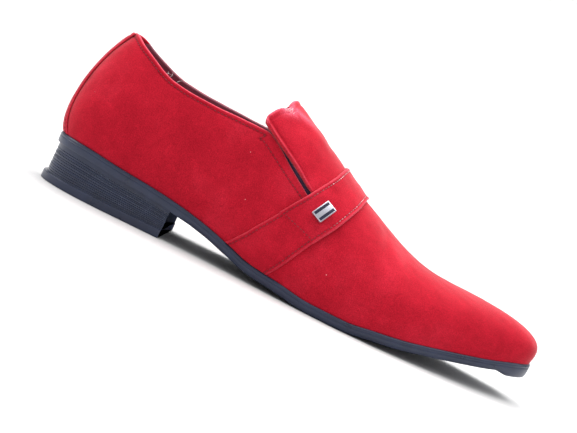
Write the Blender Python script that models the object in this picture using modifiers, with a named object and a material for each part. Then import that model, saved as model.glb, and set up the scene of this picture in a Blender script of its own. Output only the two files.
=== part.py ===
"""Right dress shoe: a suede slip-on with a strap, a padded tongue, elastic gores and a ribbed heel.

Metres, +Z up, toe towards +X, outer side towards -Y. The shoe stands on its heel and ball at z = 0.
Everything is worked out from one form, the outside of the upper on its last. A place on that form is a turn
round the foot (0 at the back, 1 at the heel's side, 2 at the start of the toe, 3 at its tip, negative on the
inner side) and a level (0 at the sole, 1 at the crown, 2 at the sole of the other side).
"""
import math
from bisect import bisect_right
from collections import namedtuple

import bmesh
import bpy
from mathutils import Matrix, Vector

# Overall sizes
LENGTH = 0.299
BALL_WIDTH = 0.0928
UPPER_HEIGHT = 0.085
COLLAR_HEIGHT = 0.068
INNER_COLLAR_LIFT = 0.0010
COLLAR_BLEND = 0.06 * LENGTH
HEEL_RISE = 0.0223
TOE_SPRING = 0.0184
BALL = 0.6 * LENGTH

# Walls, layers and the clearance between pieces
SEAM_GAP = 0.0003
WALL = 0.0020
INSOLE_THICKNESS = 0.0030
OUTSOLE_THICKNESS = 0.0060
SOLE_STEP = 0.0016
TIP_INSET = 0.0026
LIP_HEIGHT = 0.0018
EDGE_GROOVE = 0.0005
EDGE_BEVEL = 0.0006
EDGE_ROUNDING = 0.0038
TOE_PAD_DEPTH = 0.0028
TOE_PAD_START = 0.87 * LENGTH
TOE_PAD_FULL = 0.955 * LENGTH

# Heel
HEEL_BREAST = 0.262 * LENGTH
BREAST_HOLLOW = 0.0040
TOP_PIECE_HEIGHT = 0.0048
TOP_PIECE_STEP = 0.0019
HEEL_GROOVES = 8
GROOVE_DEPTH = 0.00045
GROOVE_ZONE = 0.66

# Ends of the plan outline
BACK_INSET = 0.0025
HEEL_CENTRE = 0.1605 * LENGTH
TOE_START = 0.769 * LENGTH
HEEL_ROUNDNESS = 2.2
TOE_ROUNDNESS = 2.5
CROWN_BEND = 0.686 * LENGTH
CROWN_REACH = 0.134 * LENGTH
LOWER_LEVELS = 0.22
TUCK_ANGLE = math.radians(40)

# Slit beside the tongue, and the tongue
SLIT_TOP = 0.3645 * LENGTH
SLIT_FRONT = 0.512 * LENGTH
SLIT_WIDTH = 0.0010
TONGUE_THICKNESS = 0.0024
TONGUE_TOP = 0.3775 * LENGTH
TONGUE_LEAN = 0.036 * LENGTH
TONGUE_FRONT = 0.5485 * LENGTH
TONGUE_TAPER = 0.055 * LENGTH
TONGUE_THINNING = 0.6
GORE_THICKNESS = 0.0012
GORE_MARGIN = 0.0060
GORE_FRONT = 0.492 * LENGTH

# Strap, back panel and ornament
STRAP_THICKNESS = 0.0014
STRAP_BASE_THICKNESS = 0.0010
STRAP_SEAM_LEVEL = 0.37
STRAP_BASE_INSET = 0.012
STRAP_BRIDGE = 0.45
STRAP_SLOPE = 0.03 * LENGTH
BACK_PANEL_THICKNESS = 0.0011
BACK_PANEL_TOP_WIDTH = 0.0225
BACK_PANEL_FOOT_WIDTH = 0.0330
OVERLAY_FOOT_LEVEL = 0.05
ORNAMENT_LEVEL = 0.505
ORNAMENT_SHARE = 0.53
ORNAMENT_LENGTH = 0.0116
ORNAMENT_WIDTH = 0.0072
ORNAMENT_THICKNESS = 0.0018
ORNAMENT_BEVEL = 0.0004
BAR_WIDTH = 0.00145
BAR_INSET = 0.0008
BAR_DEPTH = 0.0008

# Fineness of the meshes
HEEL_STEPS = 8
SIDE_STEPS = 28
TOE_STEPS = 9
LOWER_STEPS = 3
UPPER_STEPS = 9

# Each row is a station from heel to toe. Along is a share of LENGTH. Half width, midline (positive inwards),
# overhang past the sole and crown shift are shares of BALL_WIDTH. Seat is a share of HEEL_RISE behind the
# ball and of TOE_SPRING ahead of it. Widest and crown are heights over the seat, as shares of UPPER_HEIGHT.
# Fullness is how square the section is.
Section = namedtuple("Section", "along half_width midline seat overhang widest crown crown_shift fullness")
SECTIONS = (
    Section(0.000, 0.315, 0.000, 1.000, 0.031, 0.176, 1.067, 0.000, 1.80),
    Section(0.067, 0.315, 0.000, 0.973, 0.050, 0.200, 0.990, 0.000, 1.95),
    Section(0.1605, 0.315, -0.003, 0.856, 0.054, 0.224, 0.893, 0.000, 2.20),
    Section(0.214, 0.315, -0.008, 0.794, 0.052, 0.224, 0.903, 0.000, 2.20),
    Section(0.268, 0.310, -0.020, 0.704, 0.046, 0.212, 0.945, 0.000, 2.20),
    Section(0.334, 0.305, -0.036, 0.534, 0.039, 0.188, 1.001, 0.000, 2.20),
    Section(0.385, 0.315, -0.046, 0.350, 0.034, 0.171, 0.978, 0.004, 2.15),
    Section(0.435, 0.347, -0.050, 0.175, 0.032, 0.153, 0.936, 0.008, 2.10),
    Section(0.495, 0.404, -0.042, 0.099, 0.030, 0.141, 0.829, 0.015, 2.05),
    Section(0.562, 0.463, -0.026, 0.000, 0.027, 0.124, 0.740, 0.024, 2.00),
    Section(0.629, 0.499, -0.010, 0.000, 0.024, 0.112, 0.631, 0.034, 2.00),
    Section(0.686, 0.500, 0.002, 0.103, 0.022, 0.106, 0.519, 0.042, 2.05),
    Section(0.736, 0.478, 0.010, 0.196, 0.019, 0.099, 0.445, 0.048, 2.15),
    Section(0.786, 0.437, 0.016, 0.332, 0.017, 0.092, 0.392, 0.052, 2.30),
    Section(0.836, 0.386, 0.021, 0.478, 0.016, 0.085, 0.356, 0.054, 2.45),
    Section(0.903, 0.336, 0.029, 0.685, 0.015, 0.077, 0.330, 0.056, 2.55),
    Section(0.953, 0.312, 0.038, 0.875, 0.014, 0.072, 0.300, 0.058, 2.60),
    Section(1.000, 0.304, 0.059, 1.000, 0.020, 0.069, 0.280, 0.060, 2.60),
)

# The collar from the back to the throat. Along is a share of LENGTH, and height is one of COLLAR_HEIGHT,
# counted from the seat.
CollarPoint = namedtuple("CollarPoint", "along height")
COLLAR = (
    CollarPoint(0.020, 0.990),
    CollarPoint(0.055, 1.000),
    CollarPoint(0.087, 0.941),
    CollarPoint(0.117, 0.891),
    CollarPoint(0.144, 0.847),
    CollarPoint(0.167, 0.822),
    CollarPoint(0.201, 0.812),
    CollarPoint(0.251, 0.825),
    CollarPoint(0.301, 0.862),
    CollarPoint(0.344, 0.903),
    CollarPoint(0.3645, 0.922),
    CollarPoint(0.372, 0.915),
    CollarPoint(0.393, 0.884),
    CollarPoint(0.425, 0.823),
    CollarPoint(0.456, 0.753),
    CollarPoint(0.475, 0.707),
    CollarPoint(0.500, 0.665),
    CollarPoint(0.512, 0.680),
    CollarPoint(0.522, 0.790),
    CollarPoint(0.532, 0.950),
    CollarPoint(0.538, 1.050),
)

# The strap's two edges, alike on both sides. Level runs from the sole to the crown, and the others are
# shares of LENGTH.
StrapEdge = namedtuple("StrapEdge", "level rear front")
STRAP_EDGES = (
    StrapEdge(0.00, 0.374, 0.470),
    StrapEdge(0.22, 0.407, 0.496),
    StrapEdge(0.38, 0.451, 0.525),
    StrapEdge(0.53, 0.479, 0.550),
    StrapEdge(0.75, 0.505, 0.571),
    StrapEdge(1.00, 0.516, 0.580),
)

SUEDE_RED = ("suede_red", "C22438", 0.92, 0.0)
LINING_MAROON = ("lining_maroon", "6E323C", 0.75, 0.0)
RUBBER_DARK = ("rubber_dark", "31363F", 0.45, 0.0)
ELASTIC_BLACK = ("elastic_black", "1E1C20", 0.80, 0.0)
METAL_SATIN = ("metal_satin", "C9C7C5", 0.28, 1.0)
ENAMEL_BLACK = ("enamel_black", "17161A", 0.25, 0.0)


class RowCurve:
    """A smooth curve through one column of a table, which doesn't overshoot its rows."""

    def __init__(self, rows, column, size=1.0, run=LENGTH, key="along"):
        self.xs = [getattr(row, key) * run for row in rows]
        self.ys = [getattr(row, column) * size for row in rows]
        pairs = zip(self.xs, self.xs[1:], self.ys, self.ys[1:])
        steps = [(y1 - y0) / (x1 - x0) for x0, x1, y0, y1 in pairs]
        self.slopes = [steps[0]]
        for before, after in zip(steps, steps[1:]):
            level = before * after <= 0
            self.slopes.append(0.0 if level else 2 * before * after / (before + after))
        self.slopes.append(steps[-1])

    def __call__(self, x):
        x = min(max(x, self.xs[0]), self.xs[-1])
        i = min(bisect_right(self.xs, x), len(self.xs) - 1) - 1
        run = self.xs[i + 1] - self.xs[i]
        s = (x - self.xs[i]) / run
        blend = s * s * (3 - 2 * s)
        start = self.slopes[i] * run * s * (1 - s) ** 2
        end = self.slopes[i + 1] * run * s * s * (s - 1)
        return self.ys[i] * (1 - blend) + self.ys[i + 1] * blend + start + end


half_width = RowCurve(SECTIONS, "half_width", BALL_WIDTH)
midline = RowCurve(SECTIONS, "midline", BALL_WIDTH)
overhang = RowCurve(SECTIONS, "overhang", BALL_WIDTH)
widest = RowCurve(SECTIONS, "widest", UPPER_HEIGHT)
crown = RowCurve(SECTIONS, "crown", UPPER_HEIGHT)
crown_shift = RowCurve(SECTIONS, "crown_shift", BALL_WIDTH)
fullness = RowCurve(SECTIONS, "fullness")
seat_share = RowCurve(SECTIONS, "seat")
collar_height = RowCurve(COLLAR, "height", COLLAR_HEIGHT)
strap_rear = RowCurve(STRAP_EDGES, "rear", LENGTH, 1.0, "level")
strap_front = RowCurve(STRAP_EDGES, "front", LENGTH, 1.0, "level")


def seat(x):
    """Height of the outsole's top, on which the upper stands."""
    rise = HEEL_RISE if x < BALL else TOE_SPRING
    return OUTSOLE_THICKNESS + rise * seat_share(x)


def tread(x):
    """Height of the outsole's underside."""
    return seat(x) - OUTSOLE_THICKNESS


def ease(share):
    """A soft step from 0 to 1."""
    share = min(max(share, 0.0), 1.0)
    return share * share * (3 - 2 * share)


def station(turn):
    """Distance along the shoe and share of the full half width, at a turn from 0 to 3."""
    if turn < 1:
        angle = turn * math.pi / 2
        reach = (HEEL_CENTRE - BACK_INSET) * math.cos(angle) ** (2 / HEEL_ROUNDNESS)
        return HEEL_CENTRE - reach, math.sin(angle) ** (2 / HEEL_ROUNDNESS)
    if turn <= 2:
        return HEEL_CENTRE + (turn - 1) * (TOE_START - HEEL_CENTRE), 1.0
    angle = (turn - 2) * math.pi / 2
    reach = (LENGTH - TIP_INSET - TOE_START) * math.sin(angle) ** (2 / TOE_ROUNDNESS)
    return TOE_START + reach, max(math.cos(angle), 0.0) ** (2 / TOE_ROUNDNESS)


def side_turn(x):
    """The turn of a station between the heel's side and the start of the toe."""
    return 1 + (x - HEEL_CENTRE) / (TOE_START - HEEL_CENTRE)


def wrapped(turn):
    """The same turn, within 3 either way."""
    return (turn + 3) % 6 - 3


def outline_point(turn):
    """Plan point of the upper's lower edge."""
    turn = wrapped(turn)
    x, share = station(abs(turn))
    side = 1 if turn < 0 else -1
    return Vector((x, midline(x) + side * share * half_width(x)))


def plan(turn, outward=0.0):
    """Plan point of the lower edge, moved outward by a distance."""
    step = 0.004
    run = outline_point(turn + step) - outline_point(turn - step)
    normal = Vector((run.y, -run.x)).normalized()
    return outline_point(turn) + outward * normal


def crown_station(turn):
    """Distance along the shoe at which a rib meets the crown: ribs of the toe lean back to it."""
    x = max(station(abs(wrapped(turn)))[0], HEEL_CENTRE)
    if x <= CROWN_BEND:
        return x
    return CROWN_BEND + CROWN_REACH * (1 - math.exp((CROWN_BEND - x) / CROWN_REACH))


def rib(turn, level):
    """Point of the form's outside at a turn and a level."""
    if level > 1:
        turn, level = -turn, 2 - level
    x = station(abs(wrapped(turn)))[0]
    if level < LOWER_LEVELS:
        angle = TUCK_ANGLE + (math.pi / 2 - TUCK_ANGLE) * level / LOWER_LEVELS
        out = (math.sin(angle) - math.sin(TUCK_ANGLE)) / (1 - math.sin(TUCK_ANGLE))
        up = 1 - math.cos(angle) / math.cos(TUCK_ANGLE)
        foot = plan(turn, overhang(x) * out)
        return Vector((foot.x, foot.y, seat(x) + widest(x) * up))
    angle = math.pi / 2 * (level - LOWER_LEVELS) / (1 - LOWER_LEVELS)
    power = 2 / fullness(x)
    across = max(math.cos(angle), 0.0) ** power
    up = math.sin(angle) ** power
    side = plan(turn, overhang(x))
    top_x = crown_station(turn)
    top = Vector((top_x, crown_shift(top_x)))
    crown_x = x if x < HEEL_CENTRE else top_x
    low = seat(x) + widest(x)
    high = seat(crown_x) + crown(crown_x)
    point = top + (side - top) * across
    return Vector((point.x, point.y, low + (high - low) * up))


def skin(turn, level, height=0.0):
    """Point at a height over the form, along its normal."""
    point = rib(turn, level)
    if height == 0.0:
        return point
    step = 0.01
    around = rib(turn + step, level) - rib(turn - step, level)
    upward = rib(turn, level + step) - rib(turn, max(level - step, 0.0))
    return point + height * around.cross(upward).normalized()


def level_where(turn, is_above):
    """The level at which a rib first comes above a line, or 1."""
    low, high = LOWER_LEVELS, 1.0
    if not is_above(rib(turn, high)):
        return high
    for _ in range(30):
        middle = (low + high) / 2
        if is_above(rib(turn, middle)):
            high = middle
        else:
            low = middle
    return high


def collar_z(x, inner=False):
    """Height of the edge of collar and throat: the inner side stands a little higher near the throat."""
    rise = ease((x - HEEL_CENTRE) / HEEL_CENTRE) * ease(1 + (SLIT_TOP - x) / COLLAR_BLEND)
    return seat(x) + collar_height(x) + (INNER_COLLAR_LIFT * rise if inner else 0.0)


def collar_level(turn):
    """The level at which a rib reaches the opening, or 1 ahead of the throat."""
    return level_where(turn, lambda point: point.z >= collar_z(point.x, turn < 0))


def slit_z(x):
    """Height of the straight slit beside the tongue, carried on to the tongue's corner."""
    run = SLIT_FRONT - SLIT_TOP
    slope = (collar_z(SLIT_TOP + 0.8 * run) - collar_z(SLIT_TOP + 0.2 * run)) / (0.6 * run)
    return collar_z(SLIT_TOP + 0.5 * run) + slope * (x - SLIT_TOP - 0.5 * run)


def tongue_edge_level(x):
    """The level of the tongue's side edge, a slit's width above the quarter."""
    return level_where(side_turn(x), lambda point: point.z >= slit_z(x) + SLIT_WIDTH)


def tongue_thickness(x):
    """The tongue's thickness, padded above and thin under the strap."""
    thin = ease((x - TONGUE_FRONT + TONGUE_TAPER) / TONGUE_TAPER)
    return TONGUE_THICKNESS * (1 - TONGUE_THINNING * thin)


def strap_height(x, level):
    """Height of the strap's underside over the form: it climbs over the tongue."""
    tongue = 1 - abs(1 - level) / (1 - tongue_edge_level(min(x, SLIT_FRONT)))
    over = ease(1 + tongue / STRAP_BRIDGE) * ease(1 + (TONGUE_FRONT - x) / STRAP_SLOPE)
    return SEAM_GAP + over * (tongue_thickness(x) + SEAM_GAP)


def steps_between(start, end, count):
    """Evenly spaced values, both ends included."""
    return [start + (end - start) * i / count for i in range(count + 1)]


HEEL_TURNS = steps_between(0, 1, HEEL_STEPS)
SIDE_TURNS = HEEL_TURNS + steps_between(1, 2, SIDE_STEPS)[1:] + steps_between(2, 3, TOE_STEPS)[1:]
RING_TURNS = [-turn for turn in reversed(SIDE_TURNS[1:-1])] + SIDE_TURNS


def srgb(code):
    """Linear colour of an sRGB hex code."""
    values = [int(code[i:i + 2], 16) / 255 for i in (0, 2, 4)]
    return [v / 12.92 if v <= 0.04045 else ((v + 0.055) / 1.055) ** 2.4 for v in values] + [1.0]


def material(finish):
    """The material of a finish, made once."""
    name, code, roughness, metallic = finish
    found = bpy.data.materials.get(name)
    if found:
        return found
    made = bpy.data.materials.new(name)
    made.use_nodes = True
    shader = made.node_tree.nodes["Principled BSDF"]
    shader.inputs["Base Color"].default_value = srgb(code)
    shader.inputs["Roughness"].default_value = roughness
    shader.inputs["Metallic"].default_value = metallic
    return made


def add_object(name, mesh, finish, collection):
    """A named object of a mesh, in its collection and under the shoe's root."""
    obj = bpy.data.objects.new(name, mesh)
    obj.data.materials.append(material(finish))
    collection.objects.link(obj)
    obj.parent = bpy.data.objects["shoe_root"]
    return obj


def mesh_of(bm, name, smooth_degrees=35):
    """A mesh from a bmesh, smooth except at its sharp edges."""
    mesh = bpy.data.meshes.new(name)
    bm.to_mesh(mesh)
    bm.free()
    mesh.shade_smooth()
    mesh.set_sharp_from_angle(angle=math.radians(smooth_degrees))
    return mesh


def skin_mesh(name, rows, closed=False):
    """An open surface through rows of points, closed round when its first and last row are neighbours."""
    bm = bmesh.new()
    grid = [[bm.verts.new(point) for point in row] for row in rows]
    following = grid[1:] + grid[:1] if closed else grid[1:]
    for row, after in zip(grid, following):
        for j in range(len(row) - 1):
            bm.faces.new((row[j], after[j], after[j + 1], row[j + 1]))
    bmesh.ops.remove_doubles(bm, verts=bm.verts, dist=0.00001)
    return mesh_of(bm, name)


def add_sheet(name, rows, thickness, finish, collection, outward=True, closed=False):
    """A sheet with a real thickness, grown outward or inward from a surface through rows of points."""
    sheet = add_object(name, skin_mesh(name, rows, closed), finish, collection)
    solidify = sheet.modifiers.new("thickness", "SOLIDIFY")
    solidify.thickness = thickness
    solidify.offset = 1.0 if outward else -1.0
    return sheet


def add_loft(name, loops, finish, collection):
    """A solid through closed loops from top to bottom, capped by strips across from side to side."""
    bm = bmesh.new()
    rings = [[bm.verts.new(point) for point in loop] for loop in loops]
    count = len(rings[0])
    for upper_ring, lower_ring in zip(rings, rings[1:]):
        for i in range(count):
            k = (i + 1) % count
            bm.faces.new((upper_ring[i], lower_ring[i], lower_ring[k], upper_ring[k]))
    for ring, facing_up in ((rings[0], True), (rings[-1], False)):
        for i in range(count // 2):
            corners = [ring[i], ring[i + 1], ring[count - i - 1], ring[-i]]
            corners = list(dict.fromkeys(corners))
            bm.faces.new(corners if facing_up else corners[::-1])
    return add_object(name, mesh_of(bm, name, 40), finish, collection)


def sole_loop(outward, height):
    """A closed loop round the sole, from the back along the outer side, at a height for each station."""
    turns = SIDE_TURNS + [-turn for turn in reversed(SIDE_TURNS[1:-1])]
    points = []
    for turn in turns:
        place = plan(turn, outward)
        points.append(Vector((place.x, place.y, height(station(abs(turn))[0]))))
    return points


def heel_loop(outward, height):
    """A closed loop round the heel: the sole's outline at the back and a hollow breast in front."""
    last_turn = side_turn(HEEL_BREAST)
    turns = HEEL_TURNS + steps_between(1, last_turn, 5)[1:]
    points = [plan(turn, outward) for turn in turns]
    corner, far = plan(last_turn, outward), plan(-last_turn, outward)
    for share in steps_between(0, 1, 8)[1:-1]:
        place = corner.lerp(far, share)
        hollow = BREAST_HOLLOW * (1 - (2 * share - 1) ** 2)
        points.append(Vector((place.x - hollow, place.y)))
    points += [plan(-turn, outward) for turn in reversed(turns[1:])]
    return [Vector((place.x, place.y, height(place.x))) for place in points]


def build_outsole(collection):
    """The sole's slab: a rounded lip on top, a fine groove and an edge that rounds under to the tread.

    The tread is thicker under the tip of the toe, where it wears.
    """
    side_top = LIP_HEIGHT + EDGE_GROOVE
    side = OUTSOLE_THICKNESS - side_top

    def height(x, down):
        pad = TOE_PAD_DEPTH * ease((x - TOE_PAD_START) / (TOE_PAD_FULL - TOE_PAD_START))
        return seat(x) - down - pad * max(down - side_top, 0.0) / side

    profile = (
        (-WALL, 0.0),
        (SOLE_STEP - EDGE_BEVEL, 0.0),
        (SOLE_STEP, EDGE_BEVEL),
        (SOLE_STEP, LIP_HEIGHT),
        (SOLE_STEP - EDGE_GROOVE, LIP_HEIGHT + EDGE_GROOVE / 2),
        (SOLE_STEP, side_top),
        (SOLE_STEP - 0.05 * EDGE_ROUNDING, side_top + 0.50 * side),
        (SOLE_STEP - 0.25 * EDGE_ROUNDING, side_top + 0.85 * side),
        (SOLE_STEP - 0.60 * EDGE_ROUNDING, OUTSOLE_THICKNESS),
    )
    loops = [sole_loop(out, lambda x, down=down: height(x, down)) for out, down in profile]
    return add_loft("outsole", loops, RUBBER_DARK, collection)


def build_heel_stack(collection):
    """The heel block under the seat, with ribs round it that fan out to the sole's slope."""
    low = TOP_PIECE_HEIGHT + SEAM_GAP
    pitch = GROOVE_ZONE / HEEL_GROOVES
    profile = [(0.0, 1.0), (0.0, GROOVE_ZONE + 0.5 * pitch)]
    for i in range(HEEL_GROOVES):
        top = GROOVE_ZONE - i * pitch
        profile += [(0.0, top), (-GROOVE_DEPTH, top - 0.25 * pitch), (0.0, top - 0.5 * pitch)]
    profile.append((0.0, 0.0))
    loops = []
    for out, share in profile:
        loops.append(heel_loop(out, lambda x, s=share: low + s * (tread(x) - SEAM_GAP - low)))
    return add_loft("heel_stack", loops, RUBBER_DARK, collection)


def build_heel_top_piece(collection):
    """The slab that the heel stands on, a step wider than the block."""
    profile = (
        (TOP_PIECE_STEP - EDGE_BEVEL, TOP_PIECE_HEIGHT),
        (TOP_PIECE_STEP, TOP_PIECE_HEIGHT - EDGE_BEVEL),
        (TOP_PIECE_STEP, EDGE_BEVEL),
        (TOP_PIECE_STEP - EDGE_BEVEL, 0.0),
    )
    loops = [heel_loop(out, lambda x, z=z: z) for out, z in profile]
    return add_loft("heel_top_piece", loops, RUBBER_DARK, collection)


def build_insole(collection):
    """The sock board inside the upper."""
    inset = -(WALL + 2 * SEAM_GAP)
    profile = (
        (inset - EDGE_BEVEL, SEAM_GAP + INSOLE_THICKNESS),
        (inset, SEAM_GAP + INSOLE_THICKNESS - EDGE_BEVEL),
        (inset, SEAM_GAP),
    )
    loops = [sole_loop(out, lambda x, up=up: seat(x) + up) for out, up in profile]
    return add_loft("insole", loops, LINING_MAROON, collection)


def build_upper(collection):
    """The hollow body: a wall open at the collar, down the throat and underneath."""
    rows = []
    for turn in RING_TURNS:
        lower = steps_between(0, LOWER_LEVELS, LOWER_STEPS)
        upper = steps_between(LOWER_LEVELS, collar_level(turn), UPPER_STEPS)
        row = [skin(turn, level) for level in lower + upper[1:]]
        row[0].z += SEAM_GAP
        rows.append(row)
    return add_sheet("upper", rows, WALL, SUEDE_RED, collection, outward=False, closed=True)


def build_tongue(collection):
    """The padded tongue, from its top edge down to its thin end under the strap."""
    rows = []
    for share in steps_between(0, 1, 10):
        row = []
        for across in steps_between(-1, 1, 16):
            top_x = TONGUE_TOP - TONGUE_LEAN * abs(across) ** 1.6
            x = top_x + share * (TONGUE_FRONT - top_x)
            edge = tongue_edge_level(min(x, SLIT_FRONT))
            row.append(skin(side_turn(x), 1 + across * (1 - edge), SEAM_GAP))
        rows.append(row)
    tongue = add_sheet("tongue", rows, TONGUE_THICKNESS, SUEDE_RED, collection)
    group = tongue.vertex_groups.new(name="padding")
    for vertex in tongue.data.vertices:
        group.add([vertex.index], tongue_thickness(vertex.co.x) / TONGUE_THICKNESS, "REPLACE")
    tongue.modifiers["thickness"].vertex_group = "padding"
    return tongue


def build_gore(name, side, collection):
    """An elastic strip behind a slit: side is -1 for the outer one and 1 for the inner one."""
    rows = []
    for x in steps_between(TONGUE_TOP - TONGUE_LEAN, GORE_FRONT, 10):
        turn = side_turn(x)
        edge = min(collar_level(turn), tongue_edge_level(x))
        run = (rib(turn, edge + 0.02) - rib(turn, edge - 0.02)).length / 0.04
        margin = GORE_MARGIN / run
        levels = steps_between(edge - margin, edge + margin, 4)
        if side > 0:
            levels = [2 - level for level in reversed(levels)]
        rows.append([skin(turn, level, -WALL - 2 * SEAM_GAP) for level in levels])
    return add_sheet(name, rows, GORE_THICKNESS, ELASTIC_BLACK, collection, outward=False)


def strap_rows(start, end, count, shrink=0.0):
    """Rows of points over the strap's underside between two levels, from rear edge to front edge."""
    rows = []
    for share in steps_between(shrink, 1 - shrink, 4):
        row = []
        for level in steps_between(start, end, count):
            reach = min(level, 2 - level)
            x = strap_rear(reach) + share * (strap_front(reach) - strap_rear(reach))
            row.append(skin(side_turn(x), level, strap_height(x, level)))
        rows.append(row)
    return rows


def build_strap(collection):
    """The strap over the instep and its two lower lengths, which it overlaps by a step."""
    seam, gap = STRAP_SEAM_LEVEL, SEAM_GAP / UPPER_HEIGHT
    add_sheet("strap", strap_rows(seam, 2 - seam, 26), STRAP_THICKNESS, SUEDE_RED, collection)
    foot = OVERLAY_FOOT_LEVEL
    lateral = strap_rows(foot, seam - gap, 7, STRAP_BASE_INSET)
    medial = strap_rows(2 - seam + gap, 2 - foot, 7, STRAP_BASE_INSET)
    add_sheet("strap_base_lateral", lateral, STRAP_BASE_THICKNESS, SUEDE_RED, collection)
    add_sheet("strap_base_medial", medial, STRAP_BASE_THICKNESS, SUEDE_RED, collection)


def build_back_panel(collection):
    """The suede strip up the back, wider at the sole than at the collar."""
    rows = []
    top = collar_level(0.0) - 0.01
    for across in steps_between(-1, 1, 8):
        row = []
        for share in steps_between(0, 1, 12):
            level = OVERLAY_FOOT_LEVEL + share * (top - OVERLAY_FOOT_LEVEL)
            width = BACK_PANEL_FOOT_WIDTH + share * (BACK_PANEL_TOP_WIDTH - BACK_PANEL_FOOT_WIDTH)
            reach = abs(across) * width / 2 / abs(rib(1.0, level).y)
            turn = math.copysign(2 / math.pi * math.asin(reach ** (HEEL_ROUNDNESS / 2)), across)
            row.append(skin(turn, level, SEAM_GAP))
        rows.append(row)
    return add_sheet("back_panel", rows, BACK_PANEL_THICKNESS, SUEDE_RED, collection)


def box_mesh(name, length, width, height):
    """A box with its base at z = 0, its length along X."""
    bm = bmesh.new()
    bmesh.ops.create_cube(bm, size=1.0)
    bmesh.ops.scale(bm, vec=(length, width, height), verts=bm.verts)
    bmesh.ops.translate(bm, vec=(0, 0, height / 2), verts=bm.verts)
    return mesh_of(bm, name)


def ornament_place():
    """The ornament's frame on the strap: X up the strap, Z away from it."""
    level = ORNAMENT_LEVEL
    x = strap_rear(level) + ORNAMENT_SHARE * (strap_front(level) - strap_rear(level))
    turn, height = side_turn(x), strap_height(x, level) + STRAP_THICKNESS + 3 * SEAM_GAP
    centre = skin(turn, level, height)
    away = (centre - skin(turn, level, 0.0)).normalized()
    ahead = strap_rows(level, level + 0.1, 1)
    up = ahead[2][1] - ahead[2][0]
    up = (up - up.dot(away) * away).normalized()
    across = away.cross(up)
    return Matrix.Translation(centre) @ Matrix((up, across, away)).transposed().to_4x4()


def build_ornament(collection, cutters):
    """A plain metal plate on the strap with two dark bars let into it."""
    place = ornament_place()
    plate_mesh = box_mesh("ornament_plate", ORNAMENT_LENGTH, ORNAMENT_WIDTH, ORNAMENT_THICKNESS)
    plate = add_object("ornament_plate", plate_mesh, METAL_SATIN, collection)
    plate.matrix_local = place
    bevel = plate.modifiers.new("rounded_edges", "BEVEL")
    bevel.width = ORNAMENT_BEVEL
    bevel.segments = 2
    bar_length = ORNAMENT_LENGTH - 2 * BAR_INSET
    offset = ORNAMENT_WIDTH / 2 - BAR_INSET - BAR_WIDTH / 2
    for name, side in (("ornament_bar_rear", 1), ("ornament_bar_front", -1)):
        slot_mesh = box_mesh(name + "_slot", bar_length, BAR_WIDTH, ORNAMENT_THICKNESS)
        slot = add_object(name + "_slot", slot_mesh, METAL_SATIN, cutters)
        floor = ORNAMENT_THICKNESS - BAR_DEPTH - SEAM_GAP
        slot.matrix_local = place @ Matrix.Translation((0, side * offset, floor))
        slot.hide_render = True
        slot.display_type = "WIRE"
        cut = plate.modifiers.new(name + "_cut", "BOOLEAN")
        cut.object = slot
        cut.operation = "DIFFERENCE"
        bar_mesh = box_mesh(name, bar_length - SEAM_GAP, BAR_WIDTH - SEAM_GAP, BAR_DEPTH)
        bar = add_object(name, bar_mesh, ENAMEL_BLACK, collection)
        bar.matrix_local = place @ Matrix.Translation((0, side * offset, floor + SEAM_GAP))


def centre_on_origin(root, collection):
    """Moves the root so that the middle of the shoe's footprint lies at the origin."""
    bpy.context.view_layer.update()
    graph = bpy.context.evaluated_depsgraph_get()
    corners = []
    for obj in collection.objects:
        if obj.type == "MESH":
            shape = obj.evaluated_get(graph)
            corners += [shape.matrix_world @ Vector(corner) for corner in shape.bound_box]
    for axis in range(2):
        low, high = min(c[axis] for c in corners), max(c[axis] for c in corners)
        root.location[axis] = -(low + high) / 2
    bpy.context.view_layer.update()


def main():
    """Builds the shoe."""
    for obj in list(bpy.data.objects):
        bpy.data.objects.remove(obj, do_unlink=True)
    shoe = bpy.data.collections.new("dress_shoe")
    cutters = bpy.data.collections.new("dress_shoe_cutters")
    bpy.context.scene.collection.children.link(shoe)
    bpy.context.scene.collection.children.link(cutters)
    root = bpy.data.objects.new("shoe_root", None)
    shoe.objects.link(root)
    build_outsole(shoe)
    build_heel_stack(shoe)
    build_heel_top_piece(shoe)
    build_insole(shoe)
    build_upper(shoe)
    build_tongue(shoe)
    build_gore("elastic_gore_lateral", -1, shoe)
    build_gore("elastic_gore_medial", 1, shoe)
    build_strap(shoe)
    build_back_panel(shoe)
    build_ornament(shoe, cutters)
    centre_on_origin(root, shoe)


main()
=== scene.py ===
"""Looks of a right slip-on dress shoe: red suede on a moulded dark sole, with a strap and a metal plate.

The shapes are worked out from one form, the outside of the upper on its last. A place on that form is a turn
round the foot (0 at the back, 1 at the heel's side, 2 at the start of the toe, 3 at its tip, negative on the
inner side) and a level (0 at the sole, 1 at the crown, 2 at the sole of the other side). Sizes are in metres.
"""
import logging
import math
from dataclasses import dataclass, field
from enum import Enum
from functools import cached_property
from typing import Any, Callable, ClassVar, NamedTuple

import bmesh
import bpy
import numpy as np
from mathutils import Matrix, Vector


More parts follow.
